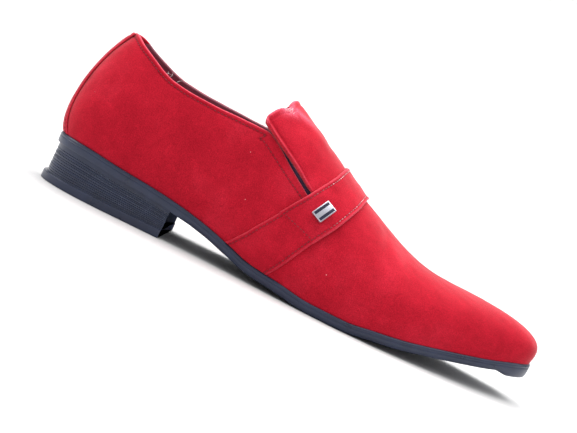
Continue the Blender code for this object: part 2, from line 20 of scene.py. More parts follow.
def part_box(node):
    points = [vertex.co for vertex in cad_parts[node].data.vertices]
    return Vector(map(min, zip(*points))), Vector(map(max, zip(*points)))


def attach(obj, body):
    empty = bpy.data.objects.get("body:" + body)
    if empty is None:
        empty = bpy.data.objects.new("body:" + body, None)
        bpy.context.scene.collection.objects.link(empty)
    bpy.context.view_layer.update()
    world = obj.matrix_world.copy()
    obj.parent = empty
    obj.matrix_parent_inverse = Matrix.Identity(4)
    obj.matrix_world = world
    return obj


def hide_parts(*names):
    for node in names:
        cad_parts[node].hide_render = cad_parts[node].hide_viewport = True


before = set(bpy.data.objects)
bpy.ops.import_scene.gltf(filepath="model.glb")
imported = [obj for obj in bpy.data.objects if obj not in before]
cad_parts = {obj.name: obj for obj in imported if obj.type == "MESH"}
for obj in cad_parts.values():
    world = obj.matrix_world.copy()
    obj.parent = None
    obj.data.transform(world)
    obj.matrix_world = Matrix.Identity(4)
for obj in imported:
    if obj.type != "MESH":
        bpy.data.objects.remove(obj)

Array = np.ndarray
Node = bpy.types.Node
Socket = bpy.types.NodeSocket
LOG = logging.getLogger("dress_shoe")
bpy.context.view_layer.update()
MM = 0.001
LENGTH = 0.299
SEAM_GAP = 0.3 * MM


class Slot(Enum):
    """The material slots of the shoe's record."""

    SUEDE = "suede"
    LINING = "lining"
    RUBBER = "rubber"
    ELASTIC = "elastic"
    METAL = "metal"
    ENAMEL = "enamel"


class Side(Enum):
    """The two sides of a right shoe, with the sign of their turns."""

    OUTER = 1
    INNER = -1


class Section(NamedTuple):
    """A station of the form, from heel to toe, in shares of the shoe's own sizes."""

    along: float
    half_width: float
    midline: float
    seat: float
    overhang: float
    widest: float
    crown: float
    crown_shift: float
    fullness: float


class CollarPoint(NamedTuple):
    """A point of the collar's edge: a share of the length, and of the collar's height over the seat."""

    along: float
    height: float


class StrapEdge(NamedTuple):
    """Where the strap's two edges lie, in shares of the length.

    The reach is the level, drawn together where the form tucks under and its levels lie closer.
    """

    reach: float
    rear: float
    front: float


class TopPoint(NamedTuple):
    """A point of the tongue's top: share of the half width, minus outside, and how far it drops in mm."""

    across: float
    drop: float


TONGUE_TOP = tuple(TopPoint(*row) for row in (
    (-1.00, 0.0), (-0.75, -0.3), (-0.65, 0.1), (-0.57, 1.2), (-0.51, 2.3), (-0.47, 1.3),
    (-0.40, 0.3), (-0.20, -0.7), (0.15, -0.6), (0.50, -0.3), (1.00, 0.0)))
SECTIONS = tuple(Section(*row) for row in (
    (0.000, 0.315, 0.000, 1.000, 0.031, 0.176, 1.067, 0.000, 1.80),
    (0.067, 0.315, 0.000, 0.973, 0.050, 0.200, 0.990, 0.000, 1.95),
    (0.1605, 0.315, -0.003, 0.856, 0.054, 0.224, 0.893, 0.000, 2.20),
    (0.214, 0.315, -0.008, 0.794, 0.052, 0.224, 0.903, 0.000, 2.20),
    (0.268, 0.310, -0.020, 0.704, 0.046, 0.212, 0.945, 0.000, 2.20),
    (0.334, 0.305, -0.036, 0.534, 0.039, 0.188, 1.001, 0.000, 2.20),
    (0.385, 0.315, -0.046, 0.350, 0.034, 0.171, 0.978, 0.004, 2.15),
    (0.435, 0.347, -0.050, 0.175, 0.032, 0.153, 0.936, 0.008, 2.10),
    (0.495, 0.404, -0.042, 0.099, 0.030, 0.141, 0.829, 0.015, 2.05),
    (0.562, 0.463, -0.026, 0.000, 0.027, 0.124, 0.740, 0.024, 2.00),
    (0.629, 0.499, -0.010, 0.000, 0.024, 0.112, 0.631, 0.034, 2.00),
    (0.686, 0.500, 0.002, 0.103, 0.022, 0.106, 0.519, 0.042, 2.05),
    (0.736, 0.478, 0.010, 0.196, 0.019, 0.099, 0.445, 0.048, 2.15),
    (0.786, 0.437, 0.016, 0.332, 0.017, 0.092, 0.392, 0.052, 2.30),
    (0.836, 0.386, 0.021, 0.478, 0.016, 0.085, 0.356, 0.054, 2.45),
    (0.903, 0.336, 0.029, 0.685, 0.015, 0.077, 0.330, 0.056, 2.55),
    (0.953, 0.312, 0.038, 0.875, 0.014, 0.072, 0.300, 0.058, 2.60),
    (1.000, 0.304, 0.059, 1.000, 0.020, 0.069, 0.280, 0.060, 2.60)))
COLLAR = tuple(CollarPoint(*row) for row in (
    (0.020, 0.990), (0.055, 1.000), (0.087, 0.941), (0.117, 0.891), (0.144, 0.847), (0.167, 0.822),
    (0.201, 0.812), (0.251, 0.825), (0.301, 0.862), (0.344, 0.903), (0.3645, 0.922), (0.372, 0.915),
    (0.393, 0.884), (0.425, 0.823), (0.456, 0.753), (0.475, 0.707), (0.500, 0.665), (0.512, 0.680),
    (0.522, 0.790), (0.532, 0.950), (0.538, 1.050)))
STRAP_EDGES = tuple(StrapEdge(*row) for row in (
    (0.099, 0.374, 0.470), (0.220, 0.407, 0.496), (0.380, 0.448, 0.525),
    (0.530, 0.479, 0.550), (0.750, 0.505, 0.571), (1.000, 0.516, 0.580)))


def ease(share: Array | float) -> Array:
    """A soft step from 0 to 1."""
    share = np.clip(share, 0.0, 1.0)
    return share * share * (3 - 2 * share)


def swell(distance: Array | float, width: float) -> Array:
    """A soft ridge of height 1 across a line, from the distance to the line and the ridge's half width."""
    return np.exp(-((distance / width) ** 2))


@dataclass(frozen=True)
class Ridge:
    """A soft ridge that runs along a line, or a groove where its height is below 0."""

    height: float
    place: float
    width: float

    def at(self, distance: Array, scale: Array | float = 1.0) -> Array:
        """The relief at distances from the line, where it keeps so much of its height."""
        return self.height * scale * swell(distance - self.place, self.width)


def quarter(step: float, level: float, bevel: float, turns: Array, sign: int) -> list[tuple[float, float]]:
    """A rounded edge of a profile: how far out and at which level each point lies, for turns from the face."""
    return [
        (step - bevel * (1 - math.sin(turn)), level + sign * bevel * (1 - math.cos(turn))) for turn in turns]


def rounding(distance: Array, radius: float) -> Array:
    """Share of the full thickness at a distance from a rounded edge."""
    return np.sqrt(np.clip(1 - (1 - np.clip(distance / radius, 0, 1)) ** 2, 0, 1))


def half_round(*steps: int) -> Array:
    """Turns from the middle of the back to the tip of the toe, in so many steps for each whole turn."""
    return np.concatenate([np.linspace(i, i + 1, count + 1)[i > 0:] for i, count in enumerate(steps)])


def end_spaced(count: int) -> Array:
    """Values from 0 to 1 that crowd towards both ends, where edges are rounded."""
    return (1 - np.cos(np.linspace(0, math.pi, count + 1))) / 2


def unevenness(points: Array, wavelength: float) -> Array:
    """A soft, hand-laid unevenness.

    Args:
        points: The points, with x, y and z last.
        wavelength: About how far its crests lie apart.

    Returns:
        Values between -1 and 1.
    """
    x, y, z = (points[..., i] * 2 * math.pi / wavelength for i in range(3))
    first = np.sin(x + 1.3 * np.sin(0.7 * z + 0.4)) * np.sin(0.9 * z + 1.1 * y + 0.5)
    second = np.sin(0.53 * x - 0.8 * z + 2.1) * np.sin(1.6 * y + 0.6 * x + 1.7)
    return 0.6 * first + 0.4 * second


@dataclass(frozen=True)
class Ripple:
    """The soft unevenness of a surface."""

    height: float
    length: float

    def at(self, points: Array) -> Array:
        """The relief at points."""
        return self.height * unevenness(points, self.length)


@dataclass(frozen=True)
class Step:
    """A soft step from 0 to 1 that begins at a place and takes a run."""

    start: float
    run: float

    def at(self, place: Array | float) -> Array:
        """How far the step has risen at a place."""
        return ease((place - self.start) / self.run)


class Curve:
    """A smooth curve through the rows of a table, which doesn't overshoot them."""

    def __init__(
            self, rows: tuple, value: str, place: str = "along", size: float = 1.0, run: float = LENGTH) -> None:
        """Reads the curve's points.

        Args:
            rows: The table.
            value: The column that the curve gives.
            place: The column that it runs along.
            size: What the values are shares of.
            run: What the places are shares of.
        """
        self.xs = np.array([getattr(row, place) for row in rows]) * run
        self.ys = np.array([getattr(row, value) for row in rows]) * size
        steps = np.diff(self.ys) / np.diff(self.xs)
        before, after = steps[:-1], steps[1:]
        product, total = before * after, before + after
        middle = np.where(product > 0, 2 * product / np.where(total == 0, 1, total), 0.0)
        self.slopes = np.concatenate((steps[:1], middle, steps[-1:]))

    def __call__(self, x: Array | float) -> Array:
        """The curve's value.

        Args:
            x: Where along the run, one or many.

        Returns:
            The value or values there.
        """
        x = np.clip(x, self.xs[0], self.xs[-1])
        i = np.clip(np.searchsorted(self.xs, x, side="right") - 1, 0, len(self.xs) - 2)
        run = self.xs[i + 1] - self.xs[i]
        s = (x - self.xs[i]) / run
        blend = s * s * (3 - 2 * s)
        start = self.slopes[i] * run * s * (1 - s) ** 2
        end = self.slopes[i + 1] * run * s * s * (s - 1)
        return self.ys[i] * (1 - blend) + self.ys[i + 1] * blend + start + end


@dataclass(frozen=True)
class Last:
    """The form that the upper follows, with the sizes that all pieces take from it."""

    ball_width: float = 0.0928
    upper_height: float = 0.085
    collar_height: float = 0.068
    inner_collar_lift: float = 2.3 * MM
    inner_lift_start: float = 0.09 * LENGTH
    inner_lift_run: float = 0.10 * LENGTH
    inner_lift_fade: float = 0.24 * LENGTH
    collar_blend: float = 0.06 * LENGTH
    heel_rise: float = 0.0223
    toe_spring: float = 0.0184
    ball: float = 0.6 * LENGTH
    sole_thickness: float = 6.0 * MM
    sole_step: float = 1.6 * MM
    tip_inset: float = 2.6 * MM
    back_inset: float = 2.5 * MM
    heel_centre: float = 0.1605 * LENGTH
    toe_start: float = 0.769 * LENGTH
    heel_roundness: float = 2.2
    toe_roundness: float = 2.5
    crown_bend: float = 0.686 * LENGTH
    crown_reach: float = 0.134 * LENGTH
    lower_levels: float = 0.22
    tuck_angle: float = math.radians(40)
    slit_top: float = 0.3645 * LENGTH
    slit_front: float = 0.512 * LENGTH
    slit_width: float = 1.0 * MM
    tuck_pace: float = 0.55
    toe_pad_depth: float = 2.8 * MM
    toe_pad_start: float = 0.922 * LENGTH
    toe_pad_full: float = 0.957 * LENGTH

    @cached_property
    def curves(self) -> dict[str, Curve]:
        """The tables' columns as curves.

        Returns:
            The curves by name.
        """
        sizes = {"half_width": self.ball_width, "midline": self.ball_width, "overhang": self.ball_width}
        sizes |= {"widest": self.upper_height, "crown": self.upper_height, "crown_shift": self.ball_width}
        sizes |= {"fullness": 1.0, "seat": 1.0}
        found = {name: Curve(SECTIONS, name, size=size) for name, size in sizes.items()}
        found["collar"] = Curve(COLLAR, "height", size=self.collar_height)
        found["strap_rear"] = Curve(STRAP_EDGES, "rear", "reach", LENGTH, 1.0)
        found["strap_front"] = Curve(STRAP_EDGES, "front", "reach", LENGTH, 1.0)
        return found

    @cached_property
    def shift(self) -> Array:
        """What moves the shoe's own frame, with its heel at x = 0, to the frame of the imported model.

        Returns:
            The shift in x, y and z.
        """
        low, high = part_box("outsole")
        # The solids' outline is drawn through as many places on each side
        model_steps = 28
        side = self.plan(np.linspace(1, 2, model_steps + 1), self.sole_step)
        tip = LENGTH - self.tip_inset + self.sole_step
        return np.array((high.x - tip, low.y - side[:, 1].min(), 0.0))

    def seat(self, x: Array | float) -> Array:
        """Height of the sole's top, on which the upper stands."""
        rise = np.where(np.asarray(x) < self.ball, self.heel_rise, self.toe_spring)
        return self.sole_thickness + rise * self.curves["seat"](x)

    def station(self, turn: Array) -> tuple[Array, Array]:
        """Where a turn lies.

        Args:
            turn: Turns on either side.

        Returns:
            Distance along the shoe, and share of the full half width.
        """
        turn = np.abs((turn + 3) % 6 - 3)
        heel = np.clip(turn, 0, 1) * math.pi / 2
        toe = np.clip(turn - 2, 0, 1) * math.pi / 2
        heel_reach = self.heel_centre - self.back_inset
        back = self.heel_centre - heel_reach * np.cos(heel) ** (2 / self.heel_roundness)
        side = self.heel_centre + (turn - 1) * (self.toe_start - self.heel_centre)
        reach = LENGTH - self.tip_inset - self.toe_start
        front = self.toe_start + reach * np.sin(toe) ** (2 / self.toe_roundness)
        x = np.where(turn < 1, back, np.where(turn <= 2, side, front))
        behind = np.sin(heel) ** (2 / self.heel_roundness)
        ahead = np.clip(np.cos(toe), 0, 1) ** (2 / self.toe_roundness)
        return x, np.where(turn < 1, behind, np.where(turn <= 2, 1.0, ahead))

    def side_turn(self, x: Array | float) -> Array:
        """The turn of a station between the heel's side and the start of the toe."""
        return 1 + (x - self.heel_centre) / (self.toe_start - self.heel_centre)

    def outline(self, turn: Array) -> Array:
        """Plan points of the upper's lower edge.

        Args:
            turn: Turns on either side.

        Returns:
            An array with x and y last.
        """
        turn = (turn + 3) % 6 - 3
        x, share = self.station(turn)
        side = np.where(turn < 0, 1, -1)
        y = self.curves["midline"](x) + side * share * self.curves["half_width"](x)
        return np.stack((x, y), -1)

    def plan(self, turn: Array, outward: Array | float = 0.0) -> Array:
        """Plan points of the lower edge, moved outward.

        Args:
            turn: Turns on either side.
            outward: The distance or distances.

        Returns:
            An array with x and y last.
        """
        step = 0.004
        run = self.outline(turn + step) - self.outline(turn - step)
        normal = np.stack((run[..., 1], -run[..., 0]), -1)
        normal /= np.linalg.norm(normal, axis=-1, keepdims=True)
        return self.outline(turn) + np.asarray(outward)[..., None] * normal

    def crown_station(self, turn: Array) -> Array:
        """Where ribs meet the crown, to which those of the toe lean back.

        Args:
            turn: Turns on either side.

        Returns:
            Distances along the shoe.
        """
        x = np.maximum(self.station(turn)[0], self.heel_centre)
        leant = self.crown_bend + self.crown_reach * (1 - np.exp((self.crown_bend - x) / self.crown_reach))
        return np.where(x <= self.crown_bend, x, leant)

    def rib(self, turn: Array, level: Array) -> Array:
        """Points of the form's outside.

        Args:
            turn: Turns on either side.
            level: Levels from 0 to 2.

        Returns:
            An array with x, y and z last, in the shoe's own frame.
        """
        turn, level = np.broadcast_arrays(np.asarray(turn, float), np.asarray(level, float))
        over = level > 1
        turn, level = np.where(over, -turn, turn), np.where(over, 2 - level, level)
        x = self.station(turn)[0]
        curves = self.curves
        low = level < self.lower_levels
        start = self.tuck_angle
        angle = start + (math.pi / 2 - start) * np.clip(level / self.lower_levels, 0, 1)
        out = (np.sin(angle) - math.sin(start)) / (1 - math.sin(start))
        side = self.plan(turn, curves["overhang"](x) * out)
        bulge = self.seat(x) + curves["widest"](x)
        lower_z = self.seat(x) + curves["widest"](x) * (1 - np.cos(angle) / math.cos(start))
        rise = math.pi / 2 * np.clip((level - self.lower_levels) / (1 - self.lower_levels), 0, 1)
        power = 2 / curves["fullness"](x)
        across = np.clip(np.cos(rise), 0, 1) ** power
        top_x = self.crown_station(turn)
        top = np.stack((top_x, curves["crown_shift"](top_x)), -1)
        crown_x = np.where(x < self.heel_centre, x, top_x)
        high = self.seat(crown_x) + curves["crown"](crown_x)
        upper = top + (side - top) * across[..., None]
        place = np.where(low[..., None], side, upper)
        z = np.where(low, lower_z, bulge + (high - bulge) * np.sin(rise) ** power)
        return np.concatenate((place, z[..., None]), -1)

    def normal(self, turn: Array, level: Array) -> Array:
        """Directions straight out of the form.

        Args:
            turn: Turns on either side.
            level: Levels from 0 to 2.

        Returns:
            Unit vectors.
        """
        step = 0.01
        around = self.rib(turn + step, level) - self.rib(turn - step, level)
        upward = self.rib(turn, level + step) - self.rib(turn, np.maximum(level - step, 0.0))
        out = np.cross(around, upward)
        return out / np.linalg.norm(out, axis=-1, keepdims=True)

    def skin(self, turn: Array, level: Array, height: Array | float) -> Array:
        """Points at a height over the form, with x, y and z last."""
        return self.rib(turn, level) + np.asarray(height)[..., None] * self.normal(turn, level)

    def run(self, turn: Array, level: Array) -> Array:
        """Metres along the form for one whole level.

        Args:
            turn: Turns on either side.
            level: The levels.

        Returns:
            The length at each.
        """
        step = 0.02
        run = self.rib(turn, level + step) - self.rib(turn, level - step)
        return np.linalg.norm(run, axis=-1) / (2 * step)

    def level_where(self, turn: Array, line: Callable[[Array], Array]) -> Array:
        """The levels at which ribs first come above a line.

        Args:
            turn: Turns on either side.
            line: Height of the line at each station.

        Returns:
            Levels, 1 where a rib stays below.
        """
        low = np.full(np.shape(turn), self.lower_levels)
        high = np.ones(np.shape(turn))
        crown = self.rib(turn, high)
        stays_below = crown[..., 2] < line(crown[..., 0])
        for _ in range(26):
            middle = (low + high) / 2
            point = self.rib(turn, middle)
            above = point[..., 2] >= line(point[..., 0])
            low, high = np.where(above, low, middle), np.where(above, middle, high)
        return np.where(stays_below, 1.0, high)

    def collar_z(self, x: Array, inner: Array | bool = False) -> Array:
        """Height of the edge of collar and throat, of which the inner side stands a little higher.

        Args:
            x: Distances along the shoe.
            inner: Which of them lie on the inner side.

        Returns:
            The heights.
        """
        rise = ease((x - self.inner_lift_start) / self.inner_lift_run)
        rise = rise * ease(1 + (self.slit_top - x) / self.collar_blend)
        rise = rise * (1 - 0.5 * ease((x - self.inner_lift_fade) / self.inner_lift_run))
        return self.seat(x) + self.curves["collar"](x) + self.inner_collar_lift * rise * inner

    def collar_level(self, turn: Array) -> Array:
        """The level at which a rib reaches the opening, or 1 ahead of the throat."""
        return self.level_where(turn, lambda x: self.collar_z(x, turn < 0))

    def strap_edges(self, level: Array | float) -> tuple[Array, Array]:
        """Where the strap's edges lie.

        Args:
            level: The level or levels.

        Returns:
            Distances along the shoe of the rear and the front edge.
        """
        level = np.minimum(level, 2 - np.asarray(level))
        tucked = self.lower_levels - (self.lower_levels - level) * self.tuck_pace
        reach = np.where(level < self.lower_levels, tucked, level)
        return self.curves["strap_rear"](reach), self.curves["strap_front"](reach)

    def slit_z(self, x: Array) -> Array:
        """Height of the straight slit beside the tongue, carried on to the tongue's corner.

        Args:
            x: Distances along the shoe.

        Returns:
            The heights.
        """
        run = self.slit_front - self.slit_top
        start, end = (self.collar_z(self.slit_top + share * run) for share in (0.2, 0.8))
        middle = self.collar_z(self.slit_top + 0.5 * run)
        return middle + (end - start) / (0.6 * run) * (x - self.slit_top - 0.5 * run)

    @cached_property
    def tongue_edges(self) -> tuple[Array, Array]:
        """The level of the tongue's side edge at close stations, a slit's width above the quarter."""
        x = np.linspace(0.30 * LENGTH, self.slit_front, 200)
        return x, self.level_where(self.side_turn(x), lambda at: self.slit_z(at) + self.slit_width)

    def tongue_edge_level(self, x: Array) -> Array:
        """The level of the tongue's side edge, kept level ahead of the slit."""
        return np.interp(x, *self.tongue_edges)


@dataclass
class Shape:
    """Points and faces on their way to a mesh, with how pale each point is drawn, from wear and painted
    highlight, and how dark, from painted shade along seams.
    """

    points: Array
    faces: list
    # Paleness from wear and painted highlight; on rubber, painted glints, and -1 for a matt face
    wear_and_highlight: Array | float = 0.0
    # Painted shade along stitch lines and in the crevice at the sole
    seam: Array | float = 0.0


def grid_faces(rows: int, columns: int, closed: bool = False) -> Array:
    """Quads of a grid.

    Args:
        rows: Rows of points.
        columns: Points in a row.
        closed: Whether the last row meets the first.

    Returns:
        Four point numbers for each quad.
    """
    i = np.arange(rows if closed else rows - 1)[:, None]
    j = np.arange(columns - 1)[None, :]
    first, second = i * columns + j, (i + 1) % rows * columns + j
    return np.stack((first, second, second + 1, first + 1), -1).reshape(-1, 4)


def border_faces(rows: int, columns: int, closed: bool = False) -> Array:
    """Quads between the borders of two equal grids, the second numbered after the first.

    Args:
        rows: Rows of points in each.
        columns: Points in a row.
        closed: Whether the last row meets the first.

    Returns:
        Four point numbers for each quad.
    """
    count = rows * columns
    i = np.arange(rows if closed else rows - 1)
    k = (i + 1) % rows
    strips = []
    for column in (0, columns - 1):
        a, b = i * columns + column, k * columns + column
        strips.append(np.stack((a, b, b + count, a + count), -1))
    if not closed:
        j = np.arange(columns - 1)
        for row in (0, rows - 1):
            a = row * columns + j
            strips.append(np.stack((a, a + 1, a + 1 + count, a + count), -1))
    return np.concatenate(strips)


def solid_between(outer: Array, inner: Array, closed: bool = False, wear_and_highlight: Any = 0.0, seam: Any = 0.0) -> Shape:
    """A closed solid between two grids.

    Args:
        outer: The outside, rows by columns by 3.
        inner: The inside, of the same size.
        closed: Whether the last row meets the first.
        wear_and_highlight: How pale the outside is drawn, from wear and painted highlight.
        seam: How dark the outside is drawn, from painted shade along seams.

    Returns:
        The shape.
    """
    rows, columns = outer.shape[:2]
    faces = grid_faces(rows, columns, closed)
    every = np.concatenate((faces, faces + rows * columns, border_faces(rows, columns, closed)))
    inside = np.zeros(rows * columns)
    marks = [np.concatenate((np.broadcast_to(mark, (rows, columns)).ravel(), inside)) for mark in (wear_and_highlight, seam)]
    return Shape(np.concatenate((outer.reshape(-1, 3), inner.reshape(-1, 3))), every.tolist(), *marks)


def distances(grid: Array) -> tuple[Array, Array, Array, Array]:
    """How far each point of a grid lies from its borders, along the surface.

    Args:
        grid: Rows by columns by 3.

    Returns:
        Distances from the first row, the last row, the first column and the last column.
    """
    down = np.linalg.norm(np.diff(grid, axis=0), axis=-1).cumsum(0)
    down = np.concatenate((np.zeros_like(down[:1]), down))
    across = np.linalg.norm(np.diff(grid, axis=1), axis=-1).cumsum(1)
    across = np.concatenate((np.zeros_like(across[:, :1]), across), 1)
    return down, down[-1:] - down, across, across[:, -1:] - across


def linear(code: str) -> tuple[float, float, float, float]:
    """Linear colour of an sRGB hex code."""
    values = (int(code[i:i + 2], 16) / 255 for i in (0, 2, 4))
    return (*(v / 12.92 if v <= 0.04045 else ((v + 0.055) / 1.055) ** 2.4 for v in values), 1.0)


class Recipe:
    """The nodes of a material while it is made, with the object's own coordinates in metres."""

    def __init__(self, name: str) -> None:
        """Starts a material without nodes.

        Args:
            name: The material's name.
        """
        self.material = bpy.data.materials.new(name)
        self.material.use_nodes = True
        self.tree = self.material.node_tree
        self.tree.nodes.clear()
        self.place = self.add("TexCoord").outputs["Object"]

    def add(self, kind: str, inputs: dict | None = None, stops: dict | None = None, **settings: Any) -> Node:
        """Adds a node with its settings and links.

        Args:
            kind: The node's type.
            inputs: By socket name or number, a value to set, an output to link, or a node whose first
                output is linked.
            stops: The sRGB hex codes of a ramp, by place.
            settings: The node's own options.

        Returns:
            The node.
        """
        node = self.tree.nodes.new("ShaderNode" + kind)
        for name, value in settings.items():
            setattr(node, name, value)
        for key, value in (inputs or {}).items():
            if isinstance(value, bpy.types.Node):
                value = value.outputs[0]
            if isinstance(value, bpy.types.NodeSocket):
                self.tree.links.new(value, node.inputs[key])
            else:
                node.inputs[key].default_value = value
        if stops:
            elements = node.color_ramp.elements
            while len(elements) < len(stops):
                elements.new(0.5)
            for element, (place, code) in zip(elements, sorted(stops.items())):
                element.position, element.color = place, linear(code)
        return node


@dataclass(frozen=True)
class Finish:
    """A finish of one fine pattern, which shifts its colour between tones and lifts the surface a little."""

    name: str
    size: float
    detail: float = 2.0
    bump: float = 0.0
    bump_height: float = 0.03 * MM
    SLOT: ClassVar[Slot] = Slot.SUEDE
    TONES: ClassVar[dict[float, str]] = {}
    SHINE: ClassVar[dict[str, Any]] = {}

    def pattern(self, made: Recipe) -> Node | Socket:
        """The value that the tones follow."""
        return made.add("TexNoise", {"Vector": made.place, "Scale": 1 / self.size, "Detail": self.detail})

    def tinted(self, made: Recipe, colour: Node) -> Node | Socket:
        """The colour with what lies over its tones."""
        return colour

    def relief(self, made: Recipe, pattern: Node | Socket) -> Node | Socket:
        """The value that the surface rises and falls with."""
        return pattern

    def varied(self, made: Recipe, pattern: Node | Socket) -> dict[str, Node]:
        """The shader's inputs that change over the surface, apart from its colour."""
        return {}

    def over(self, made: Recipe, first: Any, second: Any, amount: Any, way: str = "MIX") -> Socket:
        """Lays so much of a second colour over the first."""
        second = linear(second) if isinstance(second, str) else second
        return made.add("Mix", {0: amount, 6: first, 7: second}, data_type="RGBA", blend_type=way).outputs[2]

    def build(self) -> bpy.types.Material:
        """Makes the material.

        Returns:
            The material.
        """
        made = Recipe(self.name)
        pattern = self.pattern(made)
        inputs = {"Base Color": self.tinted(made, made.add("ValToRGB", {"Fac": pattern}, self.TONES))}
        inputs |= {**self.SHINE, **self.varied(made, pattern)}
        if self.bump:
            inputs["Normal"] = made.add("Bump", {
                "Height": self.relief(made, pattern), "Strength": self.bump, "Distance": self.bump_height})
        made.add("OutputMaterial", {"Surface": made.add("BsdfPrincipled", inputs)})
        return made.material


@dataclass(frozen=True)
class Suede(Finish):
    """Split suede, drum-dyed red and brushed.

    It has no gloss, a pale bloom where the nap is seen edge-on, and mottling where the nap lies differently.
    """

    name: str = "split_suede_dyed_red"
    size: float = 30 * MM
    detail: float = 4.0
    bump: float = 0.35
    bump_height: float = 0.2 * MM
    # Pale pink for worn places, also used as painted highlight on rims, edges and crests
    wear_and_highlight_colour: str = "F0657A"
    # Dark red for painted shade along seams and at the upper's foot
    sewn: str = "7A1022"
    lint: str = "FFC4C8"
    fluff: float = 0.9 * MM
    brush_mark: float = 7 * MM
    # The real nap is under 0.1 mm, too fine for the render, so it is drawn at 0.5 mm
    grain: float = 0.5 * MM
    lint_spacing: float = 11 * MM
    lint_size: float = 0.35 * MM
    TONES = {0.30: "BE192E", 0.52: "CB1E33", 0.72: "D5283D"}
    GRAIN_TONES = {0.3: "BCBCBC", 0.7: "FFFFFF"}
    BRUSHED_TONES = {0.3: "DCD4D4", 0.7: "FFFFFF"}
    SHINE = {"Roughness": 0.95, "IOR": 1.4, "Specular IOR Level": 0.1, "Sheen Weight": 0.42,
             "Sheen Roughness": 0.32, "Sheen Tint": linear("FFDDE0")}

    def relief(self, made: Recipe, pattern: Node | Socket) -> Node:
        """The grain of the nap."""
        return made.add("TexNoise", {"Vector": made.place, "Scale": 1 / self.grain, "Detail": 2.0})

    def tinted(self, made: Recipe, colour: Node) -> Socket:
        """Lays grain, brush marks, paler places from wear and painted highlight, pilling, painted shade along
        seams, and lint over the dye.

        Args:
            made: The material's nodes.
            colour: The dye.

        Returns:
            The colour seen.
        """
        grain = made.add("ValToRGB", {"Fac": self.relief(made, colour)}, self.GRAIN_TONES)
        colour = self.over(made, colour, grain, 0.8, "MULTIPLY")
        brushed = made.add("TexNoise", {
            "Vector": made.place, "Scale": 1 / self.brush_mark, "Detail": 5.0, "Roughness": 0.65,
            "Distortion": 0.6})
        brushed = made.add("ValToRGB", {"Fac": brushed}, self.BRUSHED_TONES)
        colour = self.over(made, colour, brushed, 0.6, "MULTIPLY")
        fluff = made.add("TexNoise", {"Vector": made.place, "Scale": 1 / self.fluff, "Detail": 3.0})
        tufts = made.add("MapRange", {
            "Value": fluff, "From Min": 0.35, "From Max": 0.65, "To Min": 0.45, "To Max": 1.2})
        # Paleness from wear, and painted highlight along rims, edges and crests
        wear_and_highlight = made.add("Attribute", attribute_name="wear_and_highlight").outputs["Fac"]
        wear_and_highlight = made.add("Math", {0: wear_and_highlight, 1: tufts}, operation="MULTIPLY")
        colour = self.over(made, colour, self.wear_and_highlight_colour, wear_and_highlight)
        pilled = made.add("MapRange", {"Value": wear_and_highlight, "From Min": 0.95, "From Max": 1.5, "To Max": 0.8})
        colour = self.over(made, colour, self.lint, pilled)
        # Painted shade: darker along stitch lines and at the foot of the upper
        seam = made.add("Attribute", attribute_name="seam").outputs["Fac"]
        colour = self.over(made, colour, self.sewn, seam)
        return self.over(made, colour, self.lint, self.lint_amount(made))

    def lint_amount(self, made: Recipe) -> Node:
        """Sparse specks of lint: a dot in the few cells whose own random number is high.

        Args:
            made: The material's nodes.

        Returns:
            How much lint shows.
        """
        cells = made.add("TexVoronoi", {"Vector": made.place, "Scale": 1 / self.lint_spacing})
        size = self.lint_size / self.lint_spacing
        near = made.add("MapRange", {"Value": cells, "From Min": size, "From Max": 0.4 * size})
        chance = made.add("SeparateColor", {"Color": cells.outputs["Color"]})
        rare = made.add("MapRange", {"Value": chance, "From Min": 0.45, "From Max": 0.8, "To Max": 0.7})
        return made.add("Math", {0: near, 1: rare}, operation="MULTIPLY")


@dataclass(frozen=True)
class Leather(Finish):
    """Chrome-tanned lining leather, pigmented maroon: smooth with fine pores and a low gloss."""

    name: str = "lining_leather_pigmented_maroon"
    size: float = 18 * MM
    detail: float = 5.0
    bump: float = 0.3
    bump_height: float = 0.1 * MM
    pore: float = 0.9 * MM
    SLOT = Slot.LINING
    TONES = {0.35: "8A4655", 0.65: "9C5666"}
    SHINE = {"Roughness": 0.6, "IOR": 1.5}

    def relief(self, made: Recipe, pattern: Node | Socket) -> Node:
        """The pores."""
        return made.add("TexVoronoi", {"Vector": made.place, "Scale": 1 / self.pore})


